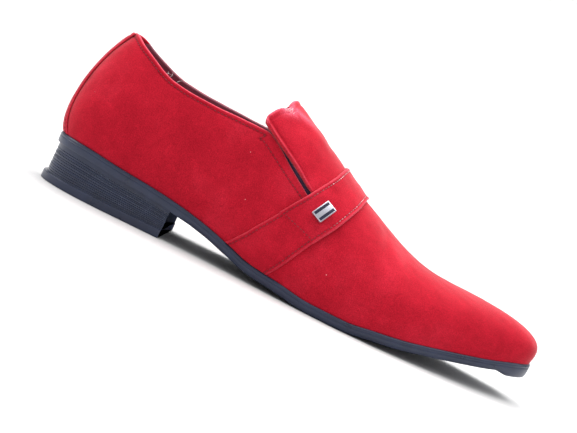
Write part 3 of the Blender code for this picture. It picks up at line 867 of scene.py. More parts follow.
@dataclass(frozen=True)
class Rubber(Finish):
    """Injection-moulded rubber, blue-grey.

    It is even and dark, with fine flow marks and a satin skin that mirrors a bright sky along its edges.
    """

    name: str = "moulded_rubber_blue_grey"
    size: float = 9 * MM
    detail: float = 4.0
    bump: float = 0.15
    bump_height: float = 0.08 * MM
    # Light blue-grey of the painted glints
    glint_colour: str = "93A0B8"
    skin: float = 0.35 * MM
    # Glints are painted into the colour as light specks; real ones on cut rubber are under 0.1 mm, so these are
    # drawn coarser for the render to show them
    glint: float = 0.45 * MM
    SLOT = Slot.RUBBER
    TONES = {0.35: "1F263C", 0.7: "29314A"}
    SHINE = {"IOR": 1.52}

    def relief(self, made: Recipe, pattern: Node | Socket) -> Node:
        """The mould's skin."""
        return made.add("TexNoise", {"Vector": made.place, "Scale": 1 / self.skin, "Detail": 2.0})

    def tinted(self, made: Recipe, colour: Node) -> Socket:
        """Lays painted glints, light specks where the mark is set, over the colour.

        Args:
            made: The material's nodes.
            colour: The rubber's colour.

        Returns:
            The colour seen.
        """
        glints = made.add("TexNoise", {"Vector": made.place, "Scale": 1 / self.glint, "Detail": 1.0})
        bright = made.add("MapRange", {"Value": glints, "From Min": 0.60, "From Max": 0.72, "To Max": 0.8})
        # The mark holds painted glints along the heel's layer ridges
        painted_glint = made.add("Attribute", attribute_name="wear_and_highlight").outputs["Fac"]
        painted_glint = made.add("Math", {0: painted_glint, 1: bright}, operation="MULTIPLY")
        return self.over(made, colour, self.glint_colour, painted_glint)

    def varied(self, made: Recipe, pattern: Node | Socket) -> dict[str, Node]:
        """The gloss, which the heel's hollow front lacks: a mark of -1 leaves it matt, as the mould does.

        Args:
            made: The material's nodes.
            pattern: The flow marks.

        Returns:
            Roughness and specular level.
        """
        gloss = made.add("MapRange", {
            "Value": pattern, "From Min": 0.3, "From Max": 0.7, "To Min": 0.26, "To Max": 0.40})
        mark = made.add("Attribute", attribute_name="wear_and_highlight").outputs["Fac"]
        matt = made.add("MapRange", {
            "Value": mark, "From Min": -1.0, "From Max": 0.0, "To Min": 0.5, "To Max": 0.0})
        shine = made.add("MapRange", {
            "Value": mark, "From Min": -1.0, "From Max": 0.0, "To Min": 0.03, "To Max": 0.4})
        return {"Roughness": made.add("Math", {0: gloss, 1: matt}), "Specular IOR Level": shine}


@dataclass(frozen=True)
class Thread(Finish):
    """Twisted polyester thread, dyed dark red: a soft shine, and a colour that pales a little at random and with
    a painted highlight where the thread faces up.
    """

    name: str = "polyester_thread_dark_red"
    size: float = 0.4 * MM
    detail: float = 1.0
    bump: float = 0.4
    bump_height: float = 0.1 * MM
    TONES = {0.0: "7C1423", 1.0: "FFCDD2"}
    SHINE = {"Roughness": 0.75, "Specular IOR Level": 0.2, "Sheen Weight": 0.1}

    def pattern(self, made: Recipe) -> Socket:
        """How pale the thread is drawn: a little at random, and painted highlight where it faces up."""
        return made.add("Attribute", attribute_name="wear_and_highlight").outputs["Fac"]

    def relief(self, made: Recipe, pattern: Node | Socket) -> Node | Socket:
        """The twist."""
        return super().pattern(made)


@dataclass(frozen=True)
class Elastic(Finish):
    """Woven elastic, plum navy: matt, with ribs of covered rubber."""

    name: str = "woven_elastic_plum_navy"
    size: float = 0.9 * MM
    bump: float = 0.6
    bump_height: float = 0.2 * MM
    SLOT = Slot.ELASTIC
    TONES = {0.2: "42304F", 0.9: "5C4466"}
    SHINE = {"Roughness": 0.85, "Sheen Weight": 0.3}
    WAVE_TURN: ClassVar[float] = 6.3

    def pattern(self, made: Recipe) -> Socket:
        """The ribs."""
        inputs = {"Vector": made.place, "Scale": 1 / (self.size * self.WAVE_TURN), "Distortion": 0.4}
        return made.add("TexWave", inputs, bands_direction="DIAGONAL").outputs["Fac"]


@dataclass(frozen=True)
class Nickel(Finish):
    """Die-cast zinc, satin nickel plated: bright and slightly cool, with fine brush lines."""

    name: str = "satin_nickel_plate"
    size: float = 0.25 * MM
    detail: float = 3.0
    bump: float = 0.1
    SLOT = Slot.METAL
    TONES = {0.3: "B4B4C0", 0.7: "CACAD4"}
    SHINE = {"Metallic": 1.0}

    def varied(self, made: Recipe, pattern: Node | Socket) -> dict[str, Node]:
        """The gloss, a little duller along some brush lines."""
        return {"Roughness": made.add("MapRange", {"Value": pattern, "To Min": 0.22, "To Max": 0.38})}


@dataclass(frozen=True)
class Enamel(Finish):
    """Cold enamel, navy: glassy and nearly flat, with a faint settling wave."""

    name: str = "cold_enamel_navy"
    size: float = 1.4 * MM
    bump: float = 0.2
    SLOT = Slot.ENAMEL
    TONES = {0.3: "17182C", 0.7: "232540"}
    SHINE = {"Roughness": 0.18, "IOR": 1.5}


@dataclass(frozen=True)
class Cotton(Finish):
    """Loose cotton fibre, undyed: matt and whitish, a little uneven along its length."""

    name: str = "cotton_fibre_undyed"
    size: float = 0.8 * MM
    TONES = {0.35: "D9C6C8", 0.65: "FFF4F4"}
    SHINE = {"Roughness": 0.9, "Sheen Weight": 0.3}


@dataclass(frozen=True)
class Paper(Finish):
    """Seamless background paper, white: matt, with the faintest tooth."""

    name: str = "background_paper_white"
    size: float = 2 * MM
    TONES = {0.3: "CBCBCB", 0.7: "D1D1D1"}
    SHINE = {"Roughness": 0.9}


@dataclass
class Workshop:
    """The last and the materials, shared by all sub-assemblies, and the way a shape becomes a piece."""

    last: Last = field(default_factory=Last)
    materials: dict[Finish, bpy.types.Material] = field(default_factory=dict)

    def material(self, finish: Finish) -> bpy.types.Material:
        """The material of a finish, made once.

        Args:
            finish: The finish.

        Returns:
            Its material.
        """
        if finish not in self.materials:
            self.materials[finish] = finish.build()
        return self.materials[finish]

    def sew(self, name: str, rows: list[Shape]) -> bpy.types.Object:
        """Makes one piece of rows of stitches."""
        return self.piece(name, joined(rows), Thread())

    def piece(
            self, name: str, shape: Shape, finish: Finish, *nodes: str, sharp: float = 50) -> bpy.types.Object:
        """Makes a piece of the shoe from a shape in the shoe's own frame.

        Args:
            name: The piece's name.
            shape: Its points and faces.
            finish: Its finish.
            nodes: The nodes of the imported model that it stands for.
            sharp: The angle in degrees from which edges look sharp.

        Returns:
            The piece, riding on the shoe.
        """
        mesh = bpy.data.meshes.new(name)
        mesh.from_pydata((shape.points + self.last.shift).tolist(), [], shape.faces)
        # Two marks: paleness from wear and painted highlight, and painted shade along seams
        for mark, values in (("wear_and_highlight", shape.wear_and_highlight), ("seam", shape.seam)):
            layer = mesh.attributes.new(mark, "FLOAT", "POINT")
            layer.data.foreach_set("value", np.broadcast_to(values, len(mesh.vertices)).astype(np.float32))
        bm = bmesh.new()
        bm.from_mesh(mesh)
        bmesh.ops.remove_doubles(bm, verts=bm.verts, dist=0.003 * MM)
        bmesh.ops.recalc_face_normals(bm, faces=bm.faces)
        bm.to_mesh(mesh)
        bm.free()
        mesh.shade_smooth()
        mesh.set_sharp_from_angle(angle=math.radians(sharp))
        mesh.materials.append(self.material(finish))
        made = bpy.data.objects.new(name, mesh)
        bpy.context.scene.collection.objects.link(made)
        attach(made, "root")
        if nodes:
            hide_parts(*nodes)
        LOG.info("%s: %d faces", name, len(mesh.polygons))
        return made


@dataclass(frozen=True)
class Stitching:
    """A row of machine stitches along a line."""

    pitch: float = 2.1 * MM
    length: float = 1.45 * MM
    radius: float = 0.23 * MM
    rise: float = 0.16 * MM
    dip: float = 0.30 * MM
    shoulder: float = 0.72
    sides: int = 6
    seed: int = 3

    def shape(self, line: Array, normals: Array, wear_and_highlight: Callable[[Array], Array] | None = None) -> Shape:
        """Lays stitches on a line.

        Args:
            line: Close points on the surface.
            normals: The surface's direction at each.
            wear_and_highlight: How much painted highlight pales a stitch, from how far its surface faces up.

        Returns:
            All the stitches, each a short thread that dips into the surface at both ends.
        """
        run = np.concatenate(([0.0], np.linalg.norm(np.diff(line, axis=0), axis=-1).cumsum()))
        count = max(int(run[-1] / self.pitch), 1)
        chance = np.random.default_rng(self.seed)
        middles = (np.arange(count) + 0.5) * run[-1] / count + chance.normal(0, 0.05 * MM, count)
        shares = np.array((-1.0, -self.shoulder, 0.0, self.shoulder, 1.0))
        girth = np.array((0.45, 0.95, 1.0, 0.95, 0.45)) * self.radius
        heights = np.array((-self.dip, 0.35 * self.rise, self.rise, 0.35 * self.rise, -self.dip))
        along = middles[:, None] + shares * self.length / 2
        centres = np.stack([np.interp(along, run, line[:, i]) for i in range(3)], -1)
        up = np.stack([np.interp(along, run, normals[:, i]) for i in range(3)], -1)
        up /= np.linalg.norm(up, axis=-1, keepdims=True)
        ahead = centres[:, -1:] - centres[:, :1]
        sideways = np.cross(up, ahead)
        sideways /= np.linalg.norm(sideways, axis=-1, keepdims=True)
        centres = centres + heights[:, None] * up
        sides, rows = self.sides, len(shares)
        angles = np.arange(sides) * 2 * math.pi / sides
        wheel = np.cos(angles)[:, None] * sideways[:, :, None] + np.sin(angles)[:, None] * up[:, :, None]
        rings = centres[:, :, None] + girth[:, None, None] * wheel
        i = np.arange(rows - 1)[:, None] * sides
        last_side = i + np.array((sides - 1, 2 * sides - 1, sides, 0))
        fan = np.array(((0, 1, 2, 3), (0, 3, 4, 5)))
        one = np.concatenate((grid_faces(rows, sides), last_side, fan, fan + (rows - 1) * sides))
        faces = (one[None] + np.arange(count)[:, None, None] * rows * sides).reshape(-1, 4)
        # Paleness: a little at random, plus painted highlight on stitches that face up
        pale = (0.03 if wear_and_highlight is None else 0.03 + wear_and_highlight(up[:, 2, 2])) * chance.uniform(0.1, 1.0, count)
        return Shape(rings.reshape(-1, 3), faces.tolist(), np.repeat(pale, rows * sides))


def joined(shapes: list[Shape]) -> Shape:
    """Several shapes as one.

    Args:
        shapes: The shapes.

    Returns:
        One shape with all their points and faces.
    """
    points = np.concatenate([shape.points for shape in shapes])
    faces, start = [], 0
    for shape in shapes:
        faces += [[corner + start for corner in face] for face in shape.faces]
        start += len(shape.points)
    wear_and_highlight = np.concatenate([np.broadcast_to(shape.wear_and_highlight, len(shape.points)) for shape in shapes])
    return Shape(points, faces, wear_and_highlight)


def smooth_path(points: tuple, per_span: int = 12) -> Array:
    """A smooth path through given points.

    Args:
        points: The points, of any size.
        per_span: Steps between neighbours.

    Returns:
        Close points, ends included.
    """
    given = np.array(points, float)
    more = np.concatenate((2 * given[:1] - given[1:2], given, 2 * given[-1:] - given[-2:-1]))
    s = np.arange(per_span)[:, None] / per_span
    found = []
    for before, start, end, after in zip(more, more[1:], more[2:], more[3:]):
        curve = 2 * start + (end - before) * s + (2 * before - 5 * start + 4 * end - after) * s ** 2
        found.append((curve + (3 * start - before - 3 * end + after) * s ** 3) / 2)
    return np.concatenate(found + [given[-1:]])


def nearness(points: Array, line: Array) -> tuple[Array, Array]:
    """How far points lie from a line.

    Args:
        points: Points in an array of any shape.
        line: The line's own points, in order.

    Returns:
        The distance, and the share of the line at the nearest place.
    """
    flat = points.reshape(-1, 3)
    best, share = np.full(len(flat), np.inf), np.zeros(len(flat))
    for i, (start, end) in enumerate(zip(line[:-1], line[1:])):
        run = end - start
        along = np.clip((flat - start) @ run / max(run @ run, 1e-14), 0, 1)
        gap = ((flat - start - along[:, None] * run) ** 2).sum(-1)
        closer = gap < best
        best, share = np.where(closer, gap, best), np.where(closer, (i + along) / (len(line) - 1), share)
    return np.sqrt(best).reshape(points.shape[:-1]), share.reshape(points.shape[:-1])


@dataclass(frozen=True)
class Path:
    """A line on the form, as turns and levels."""

    last: Last
    turn: Array
    level: Array

    @classmethod
    def through(cls, last: Last, points: tuple, side: Side = Side.OUTER) -> "Path":
        """A smooth path through given places, in millimetres from the heel and levels."""
        found = smooth_path(points)
        return cls(last, side.value * last.side_turn(found[:, 0] * MM), found[:, 1])

    def moved(self, sideways: Array | float) -> "Path":
        """The path moved along the surface, to the left of its run as seen from outside.

        Args:
            sideways: How far.

        Returns:
            The new path.
        """
        last, step = self.last, 0.01
        around = (last.rib(self.turn + step, self.level) - last.rib(self.turn - step, self.level)) / (2 * step)
        upward = (last.rib(self.turn, self.level + step) - last.rib(self.turn, self.level - step)) / (2 * step)
        ahead = np.gradient(self.points(), axis=0)
        across = np.cross(last.normal(self.turn, self.level), ahead)
        across *= np.reshape(sideways, (-1, 1)) / np.linalg.norm(across, axis=-1, keepdims=True)
        aa, au, uu = ((p * q).sum(-1) for p, q in ((around, around), (around, upward), (upward, upward)))
        ca, cu = (across * around).sum(-1), (across * upward).sum(-1)
        whole = aa * uu - au * au
        return Path(last, self.turn + (ca * uu - cu * au) / whole, self.level + (cu * aa - ca * au) / whole)

    def points(self, height: Array | float = 0.0) -> Array:
        """Points over the form along the path."""
        return self.last.skin(self.turn, self.level, height)

    def normals(self) -> Array:
        """Directions out of the form along the path."""
        return self.last.normal(self.turn, self.level)


@dataclass(frozen=True)
class Fold:
    """A soft fold in the suede, at listed points."""

    points: tuple
    depth: float
    width: float
    side: Side = Side.OUTER

    def relief(self, last: Last, places: Array) -> Array:
        """The fold's height at places on the form.

        Args:
            last: The form.
            places: Points.

        Returns:
            A height for each, below 0 in a trough.
        """
        distance, share = nearness(places, Path.through(last, self.points, self.side).points())
        fade = ease(4 * share) * ease(4 * (1 - share))
        return self.depth * fade * swell(distance, self.width)


@dataclass
class Upper:
    """The hollow body of vamp and quarters: suede outside and folded over the rim, leather inside."""

    shop: Workshop
    wall: float = 2.0 * MM
    suede_share: float = 0.5
    rim_radius: float = 1.0 * MM
    heel_fold_depth: float = 3.4 * MM
    foot_swell: float = 0.6 * MM
    rim_band: float = 6.0 * MM
    collar_stitch: float = 2.8 * MM
    slit_stitch_top: float = 6.2 * MM
    slit_stitch_front: float = 3.4 * MM
    valley: Ridge = Ridge(-0.28 * MM, 0.0, 0.8 * MM)
    puff: Ridge = Ridge(0.25 * MM, 1.4 * MM, 1.1 * MM)
    # Painted shade along the stitch lines
    stitch_shade: Ridge = Ridge(0.5, 0.0, 0.45 * MM)
    # Paler rim from wear, and painted highlight along the rolled edge
    rim_wear_and_highlight: Ridge = Ridge(0.6, 0.3 * MM, 0.5 * MM)
    waves: tuple[tuple[float, float], ...] = ((0.16 * MM, 46 * MM), (0.06 * MM, 15 * MM))
    ripple: Ripple = Ripple(0.25 * MM, 24 * MM)
    foot_level: float = 0.10
    open_level: float = 0.999
    heel_fold_end: Step = Step(0.28, 0.18)
    heel_steps: int = 44
    side_steps: int = 170
    toe_steps: int = 64
    lower_steps: int = 14
    upper_steps: int = 56
    rim_steps: int = 22
    folds: tuple[Fold, ...] = (
        Fold(((188, 0.93), (192, 0.72), (197, 0.52)), -0.45 * MM, 4 * MM),
        Fold(((201, 0.95), (206, 0.75), (212, 0.55), (214, 0.40)), -0.35 * MM, 5 * MM),
        Fold(((178, 0.55), (188, 0.44), (199, 0.40)), -0.30 * MM, 4 * MM),
        Fold(((222, 0.90), (228, 0.60), (231, 0.35)), 0.30 * MM, 7 * MM),
        Fold(((60, 0.36), (75, 0.33), (92, 0.36)), -0.35 * MM, 6 * MM),
        Fold(((34, 0.60), (46, 0.48), (62, 0.45)), -0.30 * MM, 6 * MM),
    )

    @cached_property
    def turns(self) -> Array:
        """Turns round the whole upper, from the tip of the toe on the inner side."""
        half = half_round(self.heel_steps, self.side_steps, self.toe_steps)
        return np.concatenate((-half[-2:0:-1], half))

    @cached_property
    def edge_levels(self) -> Array:
        """The level of the rim, or of the crown, at each turn."""
        return self.shop.last.collar_level(self.turns)

    @cached_property
    def rim(self) -> Path:
        """The rim from the throat of the inner side, round the heel, to the throat of the outer side."""
        here = np.abs(self.turns) < self.shop.last.side_turn(self.shop.last.slit_front)
        return Path(self.shop.last, self.turns[here], self.edge_levels[here])

    def collar_line(self) -> Path:
        """The line of the stitches round the collar, which end at the throat.

        Returns:
            The line.
        """
        last = self.shop.last
        line = self.rim.moved(-self.collar_stitch)
        here = np.abs(line.turn) < last.side_turn(last.slit_top - 1.0 * MM)
        return Path(last, line.turn[here], line.level[here])

    def slit_line(self, side: Side) -> Path:
        """Stitches along the slit of one side, down to the strap, which close in on it.

        Args:
            side: The side.

        Returns:
            The line.
        """
        last = self.shop.last
        x = last.station(self.rim.turn)[0]
        share = ease((x - last.slit_top) / (last.slit_front - last.slit_top))
        line = self.rim.moved(-self.slit_stitch_top + share * (self.slit_stitch_top - self.slit_stitch_front))
        start, end = last.side_turn(last.slit_top - 5.0 * MM), last.side_turn(0.500 * LENGTH)
        here = (line.turn * side.value > start) & (line.turn * side.value < end)
        return Path(last, line.turn[here], line.level[here])

    def jog_line(self, side: Side) -> Path:
        """The short diagonal of stitches that joins the collar's row to the slit's row.

        Args:
            side: The side.

        Returns:
            The line.
        """
        ends = []
        for line in (self.collar_line(), self.slit_line(side)):
            reach = line.turn * side.value
            i = int(np.argmax(reach) if line.turn.min() < 0 < line.turn.max() else np.argmin(reach))
            ends.append((line.turn[i], line.level[i]))
        share = np.linspace(0, 1, 12)[:, None]
        turn, level = (np.array(ends[0]) * (1 - share) + np.array(ends[1]) * share).T
        return Path(self.shop.last, turn, level)

    def seams(self) -> list[Path]:
        """All lines of stitches in the suede.

        Returns:
            The collar's line, then the slits' lines.
        """
        found = [self.collar_line()]
        for side in Side:
            found += [self.slit_line(side), self.jog_line(side)]
        return found

    def folded(self) -> Array:
        """How far the suede reaches down inside the rim at each turn: further at the back."""
        return self.heel_fold_depth * (1 - self.heel_fold_end.at(np.abs(self.turns)))

    def levels(self, stop_short: Array | float = 0.0) -> Array:
        """Levels of the grid's columns, close together near the rim.

        Args:
            stop_short: How far below the rim the columns end.

        Returns:
            Levels, turns by columns.
        """
        last = self.shop.last
        run = last.run(self.turns, np.minimum(self.edge_levels, 0.97))
        edge = self.edge_levels - stop_short / run
        band = edge - self.rim_band / run
        lower = np.linspace(0, last.lower_levels, self.lower_steps + 1)[:-1]
        middle = np.linspace(0, 1, self.upper_steps + 1)[:-1]
        near = np.sin(np.linspace(0, math.pi / 2, self.rim_steps + 1))
        start = last.lower_levels
        return np.concatenate((
            np.broadcast_to(lower, (len(run), len(lower))),
            start + middle * (band - start)[:, None],
            band[:, None] + near * (edge - band)[:, None]), 1)

    def rim_distance(self, points: Array) -> Array:
        """How far points of the grid lie from the rim."""
        return nearness(points, self.rim.points())[0]

    def build(self) -> list[bpy.types.Object]:
        """Builds the suede, the lining and the stitches."""
        return [self.build_suede(), self.build_lining(), self.build_stitches()]

    def build_suede(self) -> bpy.types.Object:
        """Builds the outside, which is folded over the rim.

        Returns:
            The piece.
        """
        last = self.shop.last
        levels = self.levels()
        turns = np.broadcast_to(self.turns[:, None], levels.shape)
        surface = last.skin(turns, levels, 0.0)
        distance = self.rim_distance(surface)
        opening = self.edge_levels[:, None] < self.open_level
        round_off = np.where(opening, rounding(distance, self.rim_radius), 1.0)
        relief = sum(height * unevenness(surface, length) for height, length in self.waves)
        for fold in self.folds:
            relief = relief + fold.relief(last, surface)
        # Painted shade along the stitch lines
        sewn = np.zeros(levels.shape)
        for seam in self.seams():
            gap = nearness(surface, seam.points())[0]
            relief = relief + self.valley.at(gap)
            sewn = np.maximum(sewn, self.stitch_shade.at(gap))
        relief = relief + self.puff.at(distance) * opening
        foot = 1 - ease(levels / self.foot_level)
        relief = relief * (1 - foot) + self.foot_swell * foot
        outer = last.skin(turns, levels, -self.rim_radius + (self.rim_radius + relief) * round_off)
        outer[:, 0, 2] += SEAM_GAP / 2
        inside = np.where(distance < self.folded()[:, None], self.wall, self.suede_share * self.wall)
        inside = self.rim_radius + (inside - self.rim_radius) * round_off
        inner = last.skin(turns, levels, -inside)
        # Painted shade along the stitch lines and at the foot, by the sole
        seam = np.maximum(sewn, self.stitch_shade.height * (1 - ease(levels / 0.03)))
        # Paleness at the rim: wear and painted highlight
        shape = solid_between(outer, inner, True, self.rim_wear_and_highlight.at(distance) * opening, seam)
        return self.shop.piece("upper_suede", shape, Suede(), "upper")

    def build_lining(self) -> bpy.types.Object:
        """Builds the leather inside, which starts under the folded edge.

        Returns:
            The piece.
        """
        last = self.shop.last
        levels = self.levels(np.maximum(self.folded() - 0.3 * MM, 0.08 * MM))
        turns = np.broadcast_to(self.turns[:, None], levels.shape)
        surface = last.skin(turns, levels, 0.0)
        ripple = self.ripple.at(surface) * ease(levels / 0.2)
        opening = self.edge_levels[:, None] < self.open_level
        round_off = np.where(opening, rounding(self.rim_distance(surface), self.rim_radius), 1.0)
        split = self.suede_share * self.wall + 0.05 * MM
        inner = last.skin(turns, levels, -split - (self.wall - split + np.clip(ripple, 0, None)) * round_off)
        outer = last.skin(turns, levels, -split)
        return self.shop.piece("upper_lining", solid_between(outer, inner, True), Leather(), "upper")

    def build_stitches(self) -> bpy.types.Object:
        """Builds the stitches of collar and slits.

        Returns:
            The piece.
        """
        height = self.valley.height + self.puff.height / 3
        return self.shop.sew("upper_stitches", [
            Stitching().shape(seam.points(height), seam.normals()) for seam in self.seams()])


@dataclass
class Throat:
    """The padded tongue and the elastic strips under the slits beside it."""

    shop: Workshop
    thickness: float = 2.4 * MM
    top: float = 0.3775 * LENGTH
    lean: float = 0.036 * LENGTH
    front: float = 0.5485 * LENGTH
    taper: float = 0.055 * LENGTH
    thinning: float = 0.6
    edge_radius: float = 1.0 * MM
    front_radius: float = 0.6 * MM
    corner_radius: float = 2.8 * MM
    half_width: float = 24 * MM
    flank: float = 1.8 * MM
    closing: float = 0.09 * LENGTH
    slimming: float = 0.12 * LENGTH
    strap_start: Step = Step(0.46 * LENGTH, 0.03 * LENGTH)
    roll_place: float = 1.2 * MM
    side_bead: Ridge = Ridge(0.55 * MM, 0.0, 0.9 * MM)
    top_bead: Ridge = Ridge(0.25 * MM, 0.0, 1.1 * MM)
    # Paler side roll and top edge: wear, and painted highlight
    roll_wear_and_highlight: Ridge = Ridge(0.30, 0.0, 0.5 * MM)
    top_wear_and_highlight: Ridge = Ridge(0.8, 0.5 * MM, 0.9 * MM)
    hem_place: float = 3.4 * MM
    side_hem: Ridge = Ridge(0.38 * MM, 0.0, 0.8 * MM)
    top_hem: Ridge = Ridge(0.30 * MM, 0.0, 0.7 * MM)
    # Painted shade along the hems
    hem_shade: Ridge = Ridge(1.0, 0.0, 0.5 * MM)
    crest_points: tuple = ((0.370, -0.49), (0.395, -0.42), (0.425, -0.31), (0.470, -0.17))
    crest_end: Step = Step(0.385 * LENGTH, 0.07 * LENGTH)
    crest: Ridge = Ridge(0.7 * MM, 0.0, 3.0 * MM)
    crest_hollow: Ridge = Ridge(-0.5 * MM, -6 * MM, 4.5 * MM)
    # Painted highlight along the crest, with a little wear
    crest_highlight: Ridge = Ridge(0.8, 0.5 * MM, 1.8 * MM)
    pilling: Ridge = Ridge(1.5, -1.8 * MM, 2.8 * MM)
    pilling_top: Ridge = Ridge(1.0, 1.0 * MM, 5.0 * MM)
    crease_place: float = 0.462
    crease: Ridge = Ridge(-0.45 * MM, 0.0, 3.2 * MM)
    crease_end: Step = Step(-0.1, 0.4)
    flat_side: Step = Step(-0.35, 0.3)
    ripple: Ripple = Ripple(0.15 * MM, 19 * MM)
    flank_end: Step = Step(1.6 * MM, 1.2 * MM)
    inner_radius: float = 0.8 * MM
    crease_bank: Ridge = Ridge(0.3 * MM, -7 * MM, 4.5 * MM)
    flat: Ridge = Ridge(0.7 * MM, 0.450 * LENGTH, 10 * MM)
    gore_thickness: float = 1.2 * MM
    gore_margin: float = 6.0 * MM
    gore_front: float = 0.492 * LENGTH
    wall: float = 2.0 * MM
    rows: int = 120
    columns: int = 130

    def tongue_thickness(self, x: Array) -> Array:
        """The tongue's thickness, padded above and thin under the strap."""
        return self.thickness * (1 - self.thinning * ease((x - self.front + self.taper) / self.taper))

    def tongue_places(self) -> tuple[Array, Array, Array]:
        """The grid of the tongue.

        Returns:
            Distance along the shoe, share across from -1 to 1, and level of each point.
        """
        last = self.shop.last
        share = end_spaced(self.rows)[:, None]
        across = 2 * end_spaced(self.columns)[None, :] - 1
        beyond = np.clip((np.abs(across) * self.half_width - self.half_width) / self.corner_radius + 1, 0, 1)
        top_x = self.top - self.lean * np.abs(across) ** 1.6
        top_x = top_x + self.corner_radius * (1 - np.sqrt(1 - 0.96 * beyond ** 2))
        top_x = top_x + Curve(TONGUE_TOP, "drop", "across", MM, 1.0)(across)
        x = top_x + share * (self.front - top_x)
        edge = last.tongue_edge_level(np.minimum(x, last.slit_front))
        run = last.run(last.side_turn(x[:, :1]), 0.6)
        closed = 0.9 - 2.1 * ease((x - last.slit_top) / self.closing)
        edge = edge - closed * last.slit_width / run
        across = np.broadcast_to(across, x.shape)
        return x, across, 1 + across * (1 - edge)

    def build(self) -> list[bpy.types.Object]:
        """Builds the tongue and both elastic strips."""
        return [self.build_tongue(), *(self.build_gore(side) for side in Side)]

    def tongue_relief(self, x: Array, across: Array, base: Array) -> tuple[Array, Array, Array]:
        """The tongue's rolled rim and hem, the crest below the notch in its top, and its soft creases.

        Args:
            x: Distance along the shoe of each point.
            across: Share across from -1 to 1.
            base: The points themselves.

        Returns:
            The relief; how pale each point is drawn, from wear and painted highlight along the side roll, the
            top and the crest, and from pilling; and painted shade along the hems.
        """
        from_top, _, from_near, from_far = distances(base)
        from_side = np.minimum(from_near, from_far)
        slim = 1 - 0.5 * ease((x - self.shop.last.slit_top) / self.slimming)
        side_roll, top_roll = from_side - self.roll_place * slim, from_top - self.roll_place
        side_hem, top_hem = from_side - self.hem_place * slim, from_top - self.hem_place
        bead = np.maximum(self.side_bead.at(side_roll, slim), self.top_bead.at(top_roll))
        hem = self.side_hem.at(side_hem, slim) * (from_top > self.roll_place)
        hem = np.maximum(hem, self.top_hem.at(top_hem) * (from_side > self.roll_place))
        line = smooth_path(self.crest_points) * (LENGTH, 1)
        from_crest = (across - np.interp(x, line[:, 0], line[:, 1])) * self.half_width
        fade = 1 - self.crest_end.at(x)
        crest = self.crest.at(from_crest, fade) + self.crest_hollow.at(from_crest, fade)
        from_crease = x - (self.crease_place + 0.012 * np.cos(2.1 * across + 0.4)) * LENGTH
        crease = self.crease.at(from_crease) + self.crease_bank.at(from_crease)
        crease = crease * (1 - self.crease_end.at(across))
        flat = self.flat.at(x) * self.flat_side.at(across)
        # Paleness: wear and painted highlight on the side roll, top edge and crest, and pilling below the notch
        wear_and_highlight = self.roll_wear_and_highlight.at(side_roll) + self.top_wear_and_highlight.at(from_top)
        wear_and_highlight = np.maximum(wear_and_highlight, self.crest_highlight.at(from_crest, fade)) * self.bare(x)
        wear_and_highlight = np.maximum(wear_and_highlight, self.pilling.at(from_crest) * self.pilling_top.at(from_top))
        # Painted shade along the hems
        seam = 0.30 * np.maximum(self.hem_shade.at(side_hem), self.hem_shade.at(top_hem))
        relief = bead - hem + crest + crease + self.ripple.at(base) - flat
        return relief * self.bare(x), wear_and_highlight, seam * self.bare(x)

    def bare(self, x: Array) -> Array:
        """How far the tongue lies bare, which it does down to the strap."""
        return 1 - self.strap_start.at(x)

    def build_tongue(self) -> bpy.types.Object:
        """Builds the tongue, a soft pad.

        Returns:
            The piece.
        """
        last = self.shop.last
        x, across, level = self.tongue_places()
        turn = last.side_turn(x)
        base = last.skin(turn, level, SEAM_GAP)
        from_top, from_front, from_near, from_far = distances(base)
        from_side = np.minimum(from_near, from_far)
        edge = np.minimum(from_top, from_side)
        half = self.tongue_thickness(x) / 2
        relief, wear_and_highlight, seam = self.tongue_relief(x, across, base)
        round_off = rounding(edge, self.edge_radius) * rounding(from_front, self.front_radius)
        outer = last.skin(turn, level, SEAM_GAP + half + (half + relief) * round_off)
        flank = self.flank * (1 - self.flank_end.at(from_side)) * self.bare(x)
        inner = last.skin(turn, level, SEAM_GAP + half - (half + flank) * rounding(edge, self.inner_radius))
        shape = solid_between(outer, inner, False, wear_and_highlight, seam)
        tongue = self.shop.piece("tongue_pad", shape, Suede(), "tongue")
        return tongue

    def build_gore(self, side: Side) -> bpy.types.Object:
        """Builds the elastic strip under the slit of one side.

        Args:
            side: The side.

        Returns:
            The piece.
        """
        last = self.shop.last
        x = np.linspace(last.slit_top - 0.5 * MM, self.gore_front, 60)
        turn = last.side_turn(x)
        edge = np.minimum(last.collar_level(turn), last.tongue_edge_level(x))
        margin = self.gore_margin / last.run(turn, edge)
        reach = np.linspace(-1, 1, 24)
        near_top = 0.15 + 0.85 * ease((x - last.slit_top) / (6 * MM))
        levels = edge[:, None] + np.where(reach > 0, reach * near_top[:, None], reach) * margin[:, None]
        turns = np.broadcast_to((side.value * turn)[:, None], levels.shape)
        depth = self.wall + 2 * SEAM_GAP
        outer = last.skin(turns, levels, -depth)
        inner = last.skin(turns, levels, -depth - self.gore_thickness)
        name = {Side.OUTER: "elastic_gore_lateral", Side.INNER: "elastic_gore_medial"}[side]
        return self.shop.piece(name + "_weave", solid_between(outer, inner), Elastic(), name)


